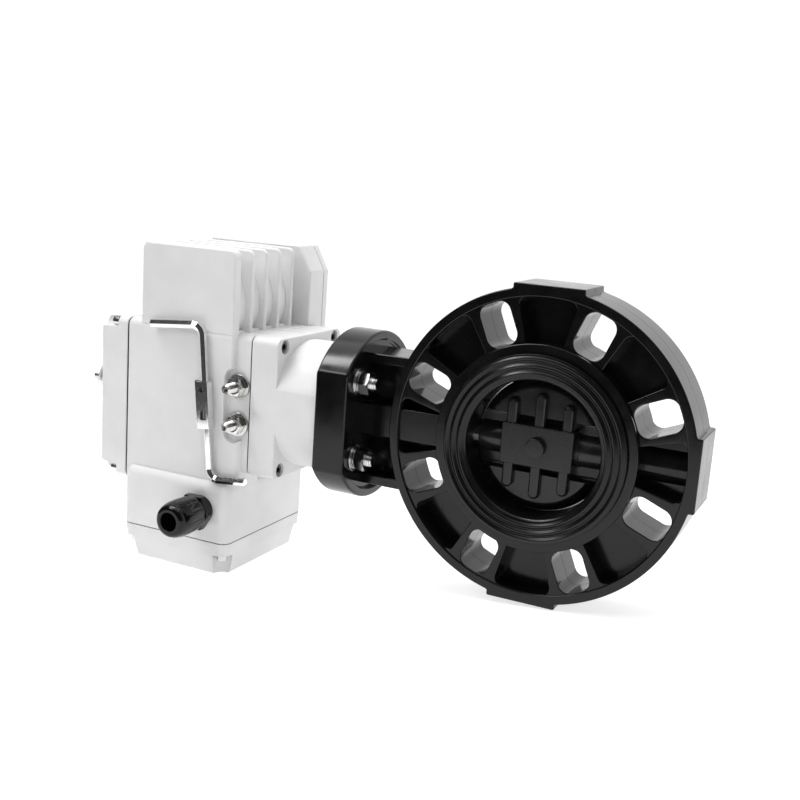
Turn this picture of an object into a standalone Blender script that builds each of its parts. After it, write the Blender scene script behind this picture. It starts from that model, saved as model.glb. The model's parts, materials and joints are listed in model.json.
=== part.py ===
"""A motorised wafer butterfly valve.

A PVC valve body holds a rubber seat and a disc on a stem. An electric quarter-turn
actuator is bolted to the body's top flange and turns the stem through a worm drive.

The origin is the centre of the bore. The stem runs along X with the actuator at -X, the
flow runs along Y with the front at -Y, and +Z is up. Sizes below are in millimetres and
every solid is made in metres.
"""
import math

import bmesh
import bpy
from mathutils import Matrix, Vector

MM = 0.001
GAP = 0.3                       # clearance between pieces that touch

# Valve body, measured from the bore's centre
RIM_R = 115.0
RIM_INNER_R = 108.0
RIM_HALF = 23.0
PAD_R = 116.25                  # flat pads on the rim
PAD_HALF = 26.3
RIB_HALF = 21.7
HUB_R = 75.5
HUB_HALF = 25.5
WEB_HALF = 5.0
SEAT_R = 60.0
LINER_FLANGE_R = 68.75
LINER_FLANGE_Y = 22.0
LINER_FACE = 30.5
BORE_R = 50.0
SLOT_COUNT = 8
SLOT_IN, SLOT_OUT = 76.0, 107.8
SLOT_HALF = 11.8
SLOT_CORNER = 8.0
BOSS_IN, BOSS_OUT = 16.0, 20.0  # half width of a slot's boss at its two ends

# Neck and top flange, along X
FLANGE_FAR, FLANGE_NEAR = -162.8, -136.3
FLANGE_R = 65.5
FLANGE_HALF = 54.5
FLANGE_FLOOR = -140.0
LIP = 6.5
NECK_TUBE_R = 14.5
NECK_WEB_Y = 20.0
NECK_WEB_Z = (43.5, 51.0)
BOLT_PITCH = 29.5               # half the square that the four flange studs make

# Stem and disc
STEM_R = 9.0
STEM_ENDS = (-205.0, 90.0)
SQUARE = 12.5                   # across the flats of the stem's drive square
BUSH_R = 12.0
DISC_R = 49.7
PLATE_R, PLATE_Y = 43.0, 12.0
TROUGH_Z, TROUGH_Y = 21.0, 4.0
BLOCK = (27.0, 18.0, 15.0)      # half sizes
HUB_BOSS_R = 12.5
RIB_PITCH, RIB_WIDTH, RIB_Y = 21.0, 8.2, 16.8

# Actuator castings
BOSS_R = 51.1
COVER_Y = 48.4
COVER_Z = 55.5
COVER_NEAR, COVER_SEAM = -200.0, -223.7
BODY_LEFT, BODY_STEP = -338.2, -238.0
BODY_Y = 53.4
BODY_Z = (-68.0, 57.0)
APRON_X = -229.5                # the lower part of the gear case reaches further
RECESS_X, RECESS_Z = (-244.2, -226.6), (-29.6, 29.0)
FIN_X = (-325.7, -234.2)
FIN_TOP = 119.3
FIRST_FIN = (-53.4, 9.1)        # near face and thickness of the thick fin
FIN_NEAR = -35.6
FIN_PITCH = 19.3
FIN_THICK = 4.3
FIN_COUNT = 5
MOTOR_AXIS = (-278.9, 75.5)     # X and Z; the motor's axis runs along Y
MOTOR_R = 40.2
MOTOR_BORE = 36.0
CAP_X = (-334.0, -223.8)
CAP_Z = (5.0, 121.0)
CAP_Y = (35.0, 57.0)
CAP_CHAMFER = (11.5, 20.5)
CHAMBER_WALL = 37.5
MOTOR_COVER_FAR = 65.5
BOX_X = (-337.0, -234.0)        # terminal box
BOX_Y = 59.0
BOX_LEDGE = (-63.5, -70.0)
BOX_SEAM = -112.5
GASKET = 0.8
BOX_BOTTOM = -140.5
LEFT_FLANGE = -349.7
LEFT_FACE = -369.2
LEFT_BOTTOM = -76.5

# Drive train
WORM_AXIS = (-310.6, 30.0)
WHEEL_TEETH = 24
WORM_PITCH_R = 9.0
WHEEL_PITCH_R = 21.0
MODULE = 2 * WHEEL_PITCH_R / WHEEL_TEETH
GEAR_MODULE = 4 / 3
ROTOR_TEETH, IDLER_TEETH, WORM_GEAR_TEETH = 12, 30, 24
GEAR_Y = (41.0, 49.0)
SLEEVE_R = 13.0
STOP_SCREW_X, STOP_SCREW_Z = -233.5, 15.05
STOP_TIP = -8.5

# Cable gland, and the key on the housing's front
GLAND_AT = (-258.7, 0, -87.0)
GLAND_FACE = -BOX_Y
KEY_AT = (-258.3, -BODY_Y - 4.0, 0)
KEY_LEAN = -5.5                 # degrees about Y; the key and its clip lean to the left
KEY_TOP, KEY_FOOT = 60.7, -61.2


# ---- Outlines: lists of (u, v) points, counter-clockwise -----------------------------

def arc(radius, start, end, steps, centre=(0, 0)):
    """Points of an arc between two angles in degrees, both ends included."""
    angles = [math.radians(start + (end - start) * i / steps) for i in range(steps + 1)]
    return [(centre[0] + radius * math.cos(a), centre[1] + radius * math.sin(a)) for a in angles]


def circle(radius, steps, centre=(0, 0)):
    return arc(radius, 0, 360, steps, centre)[:-1]


def rounded(corners, radius, steps=3):
    """A polygon's outline with its corners turned into arcs; radius is one number, or one per corner."""
    points = []
    for i, corner in enumerate(corners):
        here = Vector(corner)
        r = radius[i] if isinstance(radius, list) else radius
        if not r:
            points.append(tuple(here))
            continue
        back = (Vector(corners[i - 1]) - here).normalized()
        ahead = (Vector(corners[(i + 1) % len(corners)]) - here).normalized()
        half = back.angle(ahead) / 2
        centre = here + (back + ahead).normalized() * r / math.sin(half)
        first = here + back * r / math.tan(half) - centre
        last = here + ahead * r / math.tan(half) - centre
        turn = first.angle_signed(last)
        for step in range(steps + 1):
            spoke = first.copy()
            spoke.rotate(Matrix.Rotation(-turn * step / steps, 2))
            points.append(tuple(centre + spoke))
    return points


def rectangle(low, high):
    return [(low[0], low[1]), (high[0], low[1]), (high[0], high[1]), (low[0], high[1])]


def turned_by(points, degrees):
    turn = Matrix.Rotation(math.radians(degrees), 2)
    return [tuple(turn @ Vector(p)) for p in points]


def inset(points, distance):
    """A closed outline moved inwards by a distance."""
    moved = []
    for i, point in enumerate(points):
        here = Vector(point)
        a = (here - Vector(points[i - 1])).normalized()
        b = (Vector(points[(i + 1) % len(points)]) - here).normalized()
        normal = Vector((-a.y - b.y, a.x + b.x)).normalized()
        moved.append(tuple(here + normal * distance / max(0.4, normal.dot((-a.y, a.x)))))
    return moved


def gear_outline(teeth, module, addendum=1.0, dedendum=1.25, tip=0.36, root=1.0):
    """A spur gear's outline; tip and root are tooth widths as shares of half the pitch."""
    pitch_r = teeth * module / 2
    points = []
    for tooth in range(teeth):
        for radius, share in ((pitch_r - dedendum * module, -root),
                              (pitch_r + addendum * module, -tip),
                              (pitch_r + addendum * module, tip),
                              (pitch_r - dedendum * module, root)):
            angle = (tooth + share / 4) * 2 * math.pi / teeth
            points.append((radius * math.cos(angle), radius * math.sin(angle)))
    return points


# ---- Solids: built along a local w axis, then laid along X, Y or Z ---------------------

def skin(bm, lower, upper):
    """Side faces between two rings of vertices."""
    for i in range(len(lower)):
        j = (i + 1) % len(lower)
        corners = []
        for vert in (lower[i], lower[j], upper[j], upper[i]):
            if vert not in corners:
                corners.append(vert)
        if len(corners) > 2:
            bm.faces.new(corners)


def slab(outline, levels, holes=()):
    """An outline with holes, extruded through (w, inset) levels."""
    bm = bmesh.new()
    ends = []
    for points, side in [(outline, 1)] + [(hole, -1) for hole in holes]:
        rings = []
        for w, step in levels:
            ring = inset(points, step * side) if step else points
            rings.append([bm.verts.new((u, v, w)) for u, v in ring])
        for lower, upper in zip(rings, rings[1:]):
            skin(bm, lower, upper)
        ends.append((rings[0], rings[-1]))
    for end in (0, 1):
        rings = [pair[end] for pair in ends]
        if len(rings) == 1:
            bm.faces.new(rings[0])
            continue
        edges = [bm.edges.get((ring[i], ring[i - 1])) for ring in rings for i in range(len(ring))]
        bmesh.ops.triangle_fill(bm, use_beauty=True, edges=edges)
    return bm


def plate(outline, low, high, edge=0.0, holes=()):
    """A slab between two heights, with its edges chamfered if edge is given."""
    if not edge:
        return slab(outline, [(low, 0), (high, 0)], holes)
    return slab(outline, [(low, edge), (low + edge, 0), (high - edge, 0), (high, edge)], holes)


def turned(profile, steps=48):
    """A profile of (radius, w) points turned about w; it is a ring, or it ends on the axis."""
    bm = bmesh.new()
    rings = []
    for radius, w in profile:
        if radius < 1e-6:
            rings.append([bm.verts.new((0, 0, w))] * steps)
        else:
            rings.append([bm.verts.new((u, v, w)) for u, v in circle(radius, steps)])
    if profile[0][0] > 1e-6:
        rings.append(rings[0])
    for lower, upper in zip(rings, rings[1:]):
        skin(bm, lower, upper)
    return bm


def bar(radius, low, high, steps=32, edge=0.0):
    """A round bar, with chamfered ends if edge is given."""
    if not edge:
        return turned([(0, low), (radius, low), (radius, high), (0, high)], steps)
    return turned([(0, low), (radius - edge, low), (radius, low + edge),
                   (radius, high - edge), (radius - edge, high), (0, high)], steps)


def ring(inner, outer, low, high, steps=32):
    return turned([(inner, low), (outer, low), (outer, high), (inner, high)], steps)


LAY = {
    "X": Matrix(((0, 0, 1), (1, 0, 0), (0, 1, 0))),     # u along Y, v along Z
    "Y": Matrix(((1, 0, 0), (0, 0, 1), (0, 1, 0))),     # u along X, v along Z
    "Z": Matrix.Identity(3),
}


def solid(name, bm, axis="Z", at=(0, 0, 0), material=None, smooth=True):
    """Turn a bmesh into a named object laid along an axis, with its origin at a point."""
    bmesh.ops.transform(bm, matrix=LAY[axis].to_4x4() * MM, verts=bm.verts)
    bmesh.ops.recalc_face_normals(bm, faces=bm.faces)
    mesh = bpy.data.meshes.new(name)
    bm.to_mesh(mesh)
    bm.free()
    piece = bpy.data.objects.new(name, mesh)
    piece.location = Vector(at) * MM
    bpy.context.collection.objects.link(piece)
    if material:
        mesh.materials.append(material)
    if smooth:
        round_shading(mesh)
    return piece


def round_shading(mesh, degrees=32):
    mesh.shade_smooth()
    mesh.set_sharp_from_angle(angle=math.radians(degrees))


def block(low, high, corner=0.0, axis="Z", edge=0.0):
    """A box between two corners; its edges along the axis can be rounded."""
    u, v, w = {"X": (1, 2, 0), "Y": (0, 2, 1), "Z": (0, 1, 2)}[axis]
    outline = rectangle((low[u], low[v]), (high[u], high[v]))
    if corner:
        outline = rounded(outline, corner)
    return solid("block", plate(outline, low[w], high[w], edge), axis)


def combine(piece, tools, operation):
    """Join or cut a piece with others, which are used up."""
    for tool in tools:
        change = piece.modifiers.new(operation.title(), "BOOLEAN")
        change.operation = operation
        change.solver = "EXACT"
        change.object = tool
    graph = bpy.context.evaluated_depsgraph_get()
    mesh = bpy.data.meshes.new_from_object(piece.evaluated_get(graph))
    piece.modifiers.clear()
    piece.data = mesh
    for tool in tools:
        bpy.data.objects.remove(tool)
    tidy(mesh)
    round_shading(mesh)
    return piece


def tidy(mesh):
    """Merge points that lie together and drop the edges inside flat faces."""
    bm = bmesh.new()
    bm.from_mesh(mesh)
    near = 0.004 * MM
    bmesh.ops.remove_doubles(bm, verts=bm.verts, dist=near)
    bmesh.ops.dissolve_degenerate(bm, edges=bm.edges, dist=near)
    bmesh.ops.dissolve_limit(bm, angle_limit=math.radians(0.4), verts=bm.verts, edges=bm.edges)
    bm.to_mesh(mesh)
    bm.free()


def join(piece, *tools):
    return combine(piece, tools, "UNION")


def cut(piece, *tools):
    return combine(piece, tools, "DIFFERENCE")


def paint(name, colour, roughness, metallic=0.0, alpha=1.0):
    """A Principled BSDF material."""
    material = bpy.data.materials.new(name)
    material.use_nodes = True
    shader = material.node_tree.nodes["Principled BSDF"]
    shader.inputs["Base Color"].default_value = (*colour, 1.0)
    shader.inputs["Roughness"].default_value = roughness
    shader.inputs["Metallic"].default_value = metallic
    shader.inputs["Alpha"].default_value = alpha
    return material


# ---- Valve ------------------------------------------------------------------------------

def rim_outline():
    """The rim's circle with three flat pads; the neck takes the place of the fourth."""
    half = math.degrees(math.asin(PAD_HALF / RIM_R))
    root = math.sqrt(RIM_R ** 2 - PAD_HALF ** 2)
    pad = [(root, -PAD_HALF), (RIM_R, -PAD_HALF), (PAD_R, -PAD_HALF + 1.3),
           (PAD_R, PAD_HALF - 1.3), (RIM_R, PAD_HALF)]
    points = []
    for centre in (0, 90, 180, 270):
        if centre == 180:
            points += arc(RIM_R, centre - half, centre + half, 4)[:-1]
        else:
            points += turned_by(pad, centre)
        points += arc(RIM_R, centre + half, centre + 90 - half, 11)[:-1]
    return points


def slot_outlines(margin=0.0):
    """The eight bolt slots, rounded rectangles that point at the centre."""
    corners = rectangle((SLOT_IN - margin, -SLOT_HALF - margin), (SLOT_OUT + margin, SLOT_HALF + margin))
    shape = rounded(corners, SLOT_CORNER, 2)
    return [turned_by(shape, 22.5 + k * 360 / SLOT_COUNT) for k in range(SLOT_COUNT)]


def pocket_outlines():
    """The pockets between the slots' bosses, with rounded corners at the rim."""
    lean = math.radians(22.5)

    def boss_edge(along):
        half = BOSS_IN + (BOSS_OUT - BOSS_IN) * (along - 77) / 30
        return (along * math.cos(lean) + half * math.sin(lean),
                along * math.sin(lean) - half * math.cos(lean))

    inner, outer = boss_edge(73.4), boss_edge(105.9)
    inner_r, outer_r = math.hypot(*inner), math.hypot(*outer)
    spread_out = math.degrees(math.atan2(outer[1], outer[0])) - 3.6
    corners = [(outer[0], -outer[1])] + arc(outer_r, -spread_out, spread_out, 2)
    corners += [outer, inner, (inner_r, 0), (inner[0], -inner[1])]
    shape = rounded(corners, [5, 0, 0, 0, 5, 0, 0, 0], 2)
    return [turned_by(shape, k * 360 / SLOT_COUNT) for k in range(SLOT_COUNT)]


def flange_outline(margin=0.0):
    """A circle cut off by two upright flats."""
    radius, half = FLANGE_R - margin, FLANGE_HALF - margin
    start = math.degrees(math.acos(half / radius))
    return arc(radius, start, 180 - start, 10) + arc(radius, 180 + start, 360 - start, 10)


def valve_body(pvc):
    body = solid("valve_body", plate(circle(RIM_INNER_R + 2, 40), -RIB_HALF, RIB_HALF,
                 holes=[circle(SEAT_R + 2, 48)] + slot_outlines() + pocket_outlines()), "Y", material=pvc)
    rim = solid("rim", plate(rim_outline(), -RIM_HALF, RIM_HALF, holes=[circle(RIM_INNER_R, 56)]), "Y")
    hub = solid("hub", plate(circle(HUB_R, 56), -HUB_HALF, HUB_HALF, holes=[circle(SEAT_R - 3, 40)]), "Y")
    web = solid("web", plate(circle(RIM_INNER_R + 4, 40), -WEB_HALF, WEB_HALF,
                holes=[circle(SEAT_R - 1, 48)] + slot_outlines(3.0)), "Y")
    neck = [
        solid("tube", bar(NECK_TUBE_R, -150, -58, 24), "X"),
        solid("collar", bar(18.0, -150, -133.5, 24), "X"),
        solid("foot", bar(13.0, 58, 110, 24), "X"),
        solid("flange", plate(flange_outline(), FLANGE_FAR, FLANGE_NEAR), "X"),
        solid("middle_web", plate([(-150, -46), (-104, -46), (-110, -20), (-110, 20), (-104, 46), (-150, 46)],
              -WEB_HALF + 1, WEB_HALF - 1), "Y"),
    ]
    neck.append(block((-150, -NECK_WEB_Y, -12), (-62, NECK_WEB_Y, 12), axis="X"))
    for side in (-1, 1):
        low, high = sorted(side * z for z in NECK_WEB_Z)
        neck.append(block((-150, -NECK_WEB_Y, low), (-101, NECK_WEB_Y, high), axis="X"))
    recess = solid("recess", plate(flange_outline(LIP), FLANGE_FLOOR, FLANGE_NEAR + 5), "X")
    flange = cut(neck.pop(3), recess)
    join(body, web)
    join(body, rim)
    join(body, hub)
    for piece in neck + [flange]:
        join(body, piece)
    holes = [
        solid("seat_bore", bar(SEAT_R + GAP, -40, 40, 48), "Y"),
        solid("stem_bore", bar(STEM_R + GAP, -180, 88, 24), "X"),
        solid("bush_bore", bar(BUSH_R + GAP, -150, -104, 24), "X"),
        solid("foot_bore", bar(BUSH_R + GAP, 50, 92, 24), "X"),
        solid("sleeve_bore", bar(20.0, -180, -142.5, 28), "X"),
    ]
    for side in (-1, 1):
        low, high = sorted((side * (LINER_FLANGE_Y - GAP), side * 40))
        holes.append(solid("seat_step", bar(LINER_FLANGE_R + GAP, low, high, 48), "Y"))
        for level in (-1, 1):
            holes.append(solid("stud_hole", bar(5.4, -180, -130, 12), "X",
                               (0, side * BOLT_PITCH, level * BOLT_PITCH)))
    for hole in holes:
        cut(body, hole)
    return body


def seat_liner(rubber):
    """A rubber sleeve with a flange at each end and holes for the stem."""
    face = [(SEAT_R, LINER_FLANGE_Y), (LINER_FLANGE_R, LINER_FLANGE_Y), (LINER_FLANGE_R, LINER_FACE),
            (53.0, LINER_FACE), (BORE_R, 26.5)]
    profile = face + [(r, -y) for r, y in reversed(face)]
    liner = solid("seat_liner", turned(profile, 40), "Y", material=rubber)
    return cut(liner, solid("stem_hole", bar(STEM_R + GAP, -80, 80, 20), "X"))


def disc(pvc):
    """Two raised plates, a trough for the stem hub, a block and ribs on both faces."""
    half = [(PLATE_R, PLATE_Y), (48.6, 5.0), (DISC_R, 1.2)]
    profile = [(0, PLATE_Y)] + half + [(r, -y) for r, y in reversed(half)] + [(0, -PLATE_Y)]
    body = solid("disc", turned(profile, 40), "Y", material=pvc)
    for side in (-1, 1):
        low, high = sorted((side * TROUGH_Y, side * 20))
        cut(body, block((-60, low, -TROUGH_Z), (60, high, TROUGH_Z)))
    join(body, block([-h for h in BLOCK], BLOCK, axis="Y"))
    for side in (-1, 1):
        low, high = sorted((side * 20, side * 47))
        join(body, solid("boss", bar(HUB_BOSS_R, low, high, 28), "X"))
        for column in (-1, 0, 1):
            length = 39.0 if column == 0 else 33.3
            low, high = sorted((side * 10, side * length))
            join(body, block((column * RIB_PITCH - RIB_WIDTH / 2, -RIB_Y, low),
                             (column * RIB_PITCH + RIB_WIDTH / 2, RIB_Y, high)))
    join(body, solid("button", bar(7.0, -22.5, -15, 20), "Y"))
    return cut(body, solid("stem_hole", bar(STEM_R + GAP, -80, 80, 24), "X"))


def square_bar(half, low, high):
    return plate(rectangle((-half, -half), (half, half)), low, high)


def stem(steel):
    low, high = STEM_ENDS
    shaft = solid("stem", bar(STEM_R, -163.4, high, 24), "X", material=steel)
    return join(shaft, solid("square", square_bar(SQUARE / 2, low, -160), "X"))


def stem_fittings(polymer, rubber, steel):
    """The stem's two bushes, its seal ring and the clip that keeps it in."""
    inner = STEM_R + GAP
    solid("upper_stem_bush", ring(inner, BUSH_R, -139, -113, 24), "X", material=polymer)
    solid("lower_stem_bush", ring(inner, BUSH_R, 61, 87, 24), "X", material=polymer)
    middle, section = (inner + BUSH_R) / 2, (BUSH_R - inner) / 2
    profile = [(middle + u, w - 109.0) for u, w in circle(section, 6)]
    solid("stem_seal_ring", turned(profile, 24), "X", material=rubber)
    clip = solid("stem_clip", ring(inner, 15.0, -144.2, -142.8, 24), "X", material=steel)
    cut(clip, block((-150, -3, 5), (-140, 3, 20)))


def hexagon(across_flats):
    return arc(across_flats / math.sqrt(3), 0, 360, 6)[:-1]


def flange_fasteners(steel):
    """Four studs from the actuator's boss, each with its nut."""
    number = 0
    for side in (-1, 1):
        for level in (-1, 1):
            number += 1
            at = (0, side * BOLT_PITCH, level * BOLT_PITCH)
            solid(f"flange_stud_{number}", bar(5.0, -186, -123.5, 12), "X", at, steel)
            nut = plate(hexagon(16.0), -136, -128, holes=[circle(5.0 + GAP, 12)])
            solid(f"flange_nut_{number}", nut, "X", at, steel)


# ---- Actuator castings --------------------------------------------------------------------

def socket_screw(name, steel, axis, seat, direction, at, radius=4.5, height=5.0, shank=2.5, length=12):
    """A socket-head screw whose head stands on a seat and points along the direction."""
    head = solid(name, turned([(0, -length), (shank, -length), (shank, 0), (radius, 0),
                               (radius, height), (0, height)], 10))
    cut(head, solid("socket", plate(hexagon(radius * 0.95), height - 2.6, height + 1)))
    turn = {"X": (0, math.pi / 2, 0), "Y": (-math.pi / 2, 0, 0), "Z": (0, 0, 0)}[axis]
    if direction < 0:
        turn = {"X": (0, -math.pi / 2, 0), "Y": (math.pi / 2, 0, 0), "Z": (math.pi, 0, 0)}[axis]
    place = list(at)
    place["XYZ".index(axis)] = seat
    head.rotation_euler = turn
    head.location = Vector(place) * MM
    head.data.materials.append(steel)
    return head


def body_outline(margin=0.0):
    """The gear housing's cross-section, in Y and Z."""
    return rounded(inset(rectangle((-BODY_Y, BODY_Z[0]), (BODY_Y, BODY_Z[1])), margin), 6)


def left_outline(margin=0.0):
    """The indicator cover's cross-section, in Y and Z."""
    return rounded(inset(rectangle((-BODY_Y, LEFT_BOTTOM), (BODY_Y, BODY_Z[1])), margin), 6)


def cover_outline():
    """The output cover's cross-section, in Y and Z."""
    return rounded(rectangle((-COVER_Y, -COVER_Z), (COVER_Y, COVER_Z)), 6)


def cap_outline(margin=0.0):
    """The motor flange's outline in X and Z, with its four corners cut off."""
    du, dv = CAP_CHAMFER
    (x0, x1), (z0, z1) = CAP_X, CAP_Z
    corners = [(x0 + du, z0), (x1 - du, z0), (x1, z0 + dv), (x1, z1 - dv),
               (x1 - du, z1), (x0 + du, z1), (x0, z1 - dv), (x0, z0 + dv)]
    return rounded(inset(corners, margin), 3, 2)


def box_corners():
    return rectangle((BOX_X[0], -BOX_Y), (BOX_X[1], BOX_Y))


def box_outline(margin=0.0):
    """The terminal box's outline in X and Y."""
    return rounded(inset(box_corners(), margin), 8)


def fins():
    """Cooling fins that stand over the motor barrel; the first is thicker and a little shorter."""
    pieces = []
    for number in range(FIN_COUNT):
        near, thick, x1 = FIN_NEAR + (number - 1) * FIN_PITCH, FIN_THICK, FIN_X[1]
        if number == 0:
            (near, thick), x1 = FIRST_FIN, BODY_STEP
        x0, top = FIN_X[0], FIN_TOP
        shape = [(x0, 54.5), (x1, 54.5)]
        shape += arc(5, 0, 90, 2, (x1 - 5, top - 5)) + arc(5, 90, 180, 2, (x0 + 5, top - 5))
        pieces.append(solid("fin", plate(shape, near, near + thick), "Y"))
    return pieces


def terminal_cavity():
    return solid("terminal_cavity", plate(box_outline(4.5), BOX_SEAM - 5, -74), "Z")


def gear_housing(casting):
    """Cast body: gear case, motor barrel with fins, gear chamber and terminal box."""
    motor_at = (MOTOR_AXIS[0], 0, MOTOR_AXIS[1])
    body = solid("gear_housing", plate(body_outline(), BODY_LEFT, BODY_STEP), "X", material=casting)
    join(body, solid("strip", plate(cover_outline(), BODY_STEP - 20, COVER_SEAM - GAP), "X"))
    join(body, block((BODY_LEFT, -BODY_Y, LEFT_BOTTOM), (BODY_LEFT + 4.5, BODY_Y, -50), 6, "X"))
    join(body, block((BODY_STEP - 20, -BODY_Y, BODY_Z[0]), (APRON_X, -20, RECESS_Z[0] + 4), 4, "Z"))
    cavity = solid("case_cavity", plate(rounded(rectangle((-48.6, -59.5), (33, 52.5)), 5),
                                        BODY_LEFT - 5, BODY_STEP - 16), "X")
    outer_cavity = solid("output_cavity", plate(rounded(rectangle((-43.5, -51), (43.5, 51)), 5),
                                                BODY_STEP - 20, COVER_SEAM + 5), "X")
    under = block((-333, 31, -59.5), (-243, 48.6, 1), 4, "X")
    cut(body, cavity)
    cut(body, outer_cavity)
    cut(body, under)
    low, high = (RECESS_X[0], -60, RECESS_Z[0]), (RECESS_X[1], 0.4 - COVER_Y, RECESS_Z[1])
    cut(body, block(low, high, 8.4, "Y"))
    ledge = BOX_LEDGE[0] - BOX_LEDGE[1]
    box = slab(box_outline(), [(BOX_SEAM, 0), (BOX_LEDGE[1], 0), (BOX_LEDGE[0], ledge * 0.9)])
    join(body, solid("terminal_box", box, "Z"))
    join(body, solid("motor_flange", plate(cap_outline(), CAP_Y[0], CAP_Y[1]), "Y"))
    join(body, solid("barrel", bar(MOTOR_R, -50, CAP_Y[0] + 2, 36), "Y", motor_at))
    for fin in fins():
        join(body, fin)
    cut(body, terminal_cavity())
    cut(body, solid("chamber", plate(cap_outline(4.5), CHAMBER_WALL, CAP_Y[1] + 5), "Y"))
    cut(body, solid("motor_bore", bar(MOTOR_BORE, -46, 60, 36), "Y", motor_at))
    worm_at = (WORM_AXIS[0], 0, WORM_AXIS[1])
    cut(body, solid("worm_hole", bar(5.4, 20, 60, 16), "Y", worm_at))
    cut(body, solid("cable_hole", bar(8.4, -70, -40, 20), "Y", GLAND_AT))
    cut(body, solid("wire_hole", bar(10, -80, -55, 12), "Z", (-290, 20, 0)))
    for level in (-1, 1):
        at = (STOP_SCREW_X, 0, level * STOP_SCREW_Z)
        cut(body, solid("stop_hole", bar(4.0 + GAP, -70, -30, 16), "Y", at))
    return body


def output_cover(casting, steel):
    """Cover on the valve's side, with the round boss that the studs screw into."""
    shell = plate(cover_outline(), COVER_SEAM + GAP, COVER_NEAR, 1.2)
    cover = solid("output_cover", shell, "X", material=casting)
    boss = solid("boss", bar(BOSS_R, COVER_NEAR - 5, FLANGE_FAR - GAP, 48), "X")
    cut(boss, block((-230, COVER_Y, -60), (-150, 70, 60)), block((-230, -70, -60), (-150, -COVER_Y, 60)))
    join(cover, boss)
    cut(cover, solid("bearing_bore", bar(26.0 + GAP, -230, -203, 28), "X"))
    cut(cover, solid("sleeve_bore", bar(SLEEVE_R + GAP, -230, -150, 28), "X"))
    number = 0
    for side in (-1, 1):
        for level in (-1, 1):
            number += 1
            at = (0, side * 38.0, level * 48.8)
            cut(cover, solid("counterbore", bar(5.3, -206, -190, 12), "X", at))
            cut(cover, solid("screw_hole", bar(2.9, -230, -200, 8), "X", at))
            socket_screw(f"output_cover_screw_{number}", steel, "X", -206 + GAP, 1, at)
            at = (0, side * BOLT_PITCH, level * BOLT_PITCH)
            cut(cover, solid("stud_hole", bar(5.3, -186.5, -150, 12), "X", at))
    return cover


def motor_cover(casting):
    cover = plate(cap_outline(), CAP_Y[1] + GAP, MOTOR_COVER_FAR, 1.2)
    return solid("motor_cover", cover, "Y", material=casting)


def left_cover(casting, steel):
    """Indicator cover: a flange and a raised part whose corners make room for screws."""
    far = BODY_LEFT - GASKET - GAP * 2
    cover = solid("indicator_cover", plate(left_outline(), LEFT_FLANGE, far, 0.6), "X", material=casting)
    y, z0, z1 = BODY_Y - 1.0, LEFT_BOTTOM + 1.0, BODY_Z[1] - 1.0
    corners = rectangle((-y, z0), (y, z1))
    levels = [(LEFT_FACE, 6.0), (LEFT_FACE + 1.2, 3.6), (LEFT_FACE + 4.5, 1.6), (LEFT_FLANGE + 2, 0)]
    join(cover, solid("raised", slab(rounded(corners, 7.5), levels), "X"))
    hollow = rounded(inset(corners, 8.5), 14, 4)
    cut(cover, solid("hollow", plate(hollow, LEFT_FACE + 4.5, BODY_LEFT + 5), "X"))
    cut(cover, solid("spindle_hole", bar(4.4, -380, -350, 20), "X"))
    number = 0
    for side in (-1, 1):
        for level in (z0 + 4, z1 - 4):
            number += 1
            at = (0, side * (y - 5.2), level)
            cut(cover, solid("groove", bar(6.2, -380, LEFT_FLANGE, 20), "X", at))
            cut(cover, solid("screw_hole", bar(2.8, -360, -330, 8), "X", at))
            socket_screw(f"indicator_cover_screw_{number}", steel, "X", LEFT_FLANGE - GAP, -1, at,
                         radius=4.4, height=6.5, length=9.5)
    return cover


def terminal_cover(casting, steel):
    """Bottom cover with a slight taper and four corner grooves for its screws."""
    top = BOX_SEAM - GAP
    levels = [(BOX_BOTTOM, 5.2), (BOX_BOTTOM + 1.2, 4.0), (top - 12, 1.4), (top, 0.6)]
    cover = solid("terminal_cover", slab(box_outline(), levels), "Z", material=casting)
    hollow = rounded(inset(box_corners(), 9), 18)
    cut(cover, solid("hollow", plate(hollow, BOX_BOTTOM + 4.5, top + 5), "Z"))
    number = 0
    for x in (BOX_X[0] + 8.5, BOX_X[1] - 8.5):
        for side in (-1, 1):
            number += 1
            at = (x, side * (BOX_Y - 8.5), 0)
            cut(cover, solid("groove", bar(8.0, BOX_BOTTOM - 5, -123.5, 20), "Z",
                             (at[0] + math.copysign(2.5, x - at_middle()), at[1] + side * 2.5, 0)))
            cut(cover, solid("screw_hole", bar(2.8, -130, -110, 8), "Z", at))
            socket_screw(f"terminal_cover_screw_{number}", steel, "Z", -123.5 - GAP, -1, at,
                         radius=4.2, height=5.0, length=10)
    return cover


def at_middle():
    return (BOX_X[0] + BOX_X[1]) / 2


def indicator_gasket(rubber):
    """Flat seal in the indicator cover's seam."""
    far = BODY_LEFT - GAP
    seal = plate(left_outline(0.6), far - GASKET, far, holes=[left_outline(4.6)])
    return solid("indicator_gasket", seal, "X", material=rubber)


# ---- Cable gland, crank key and stop screws --------------------------------------------------


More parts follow.
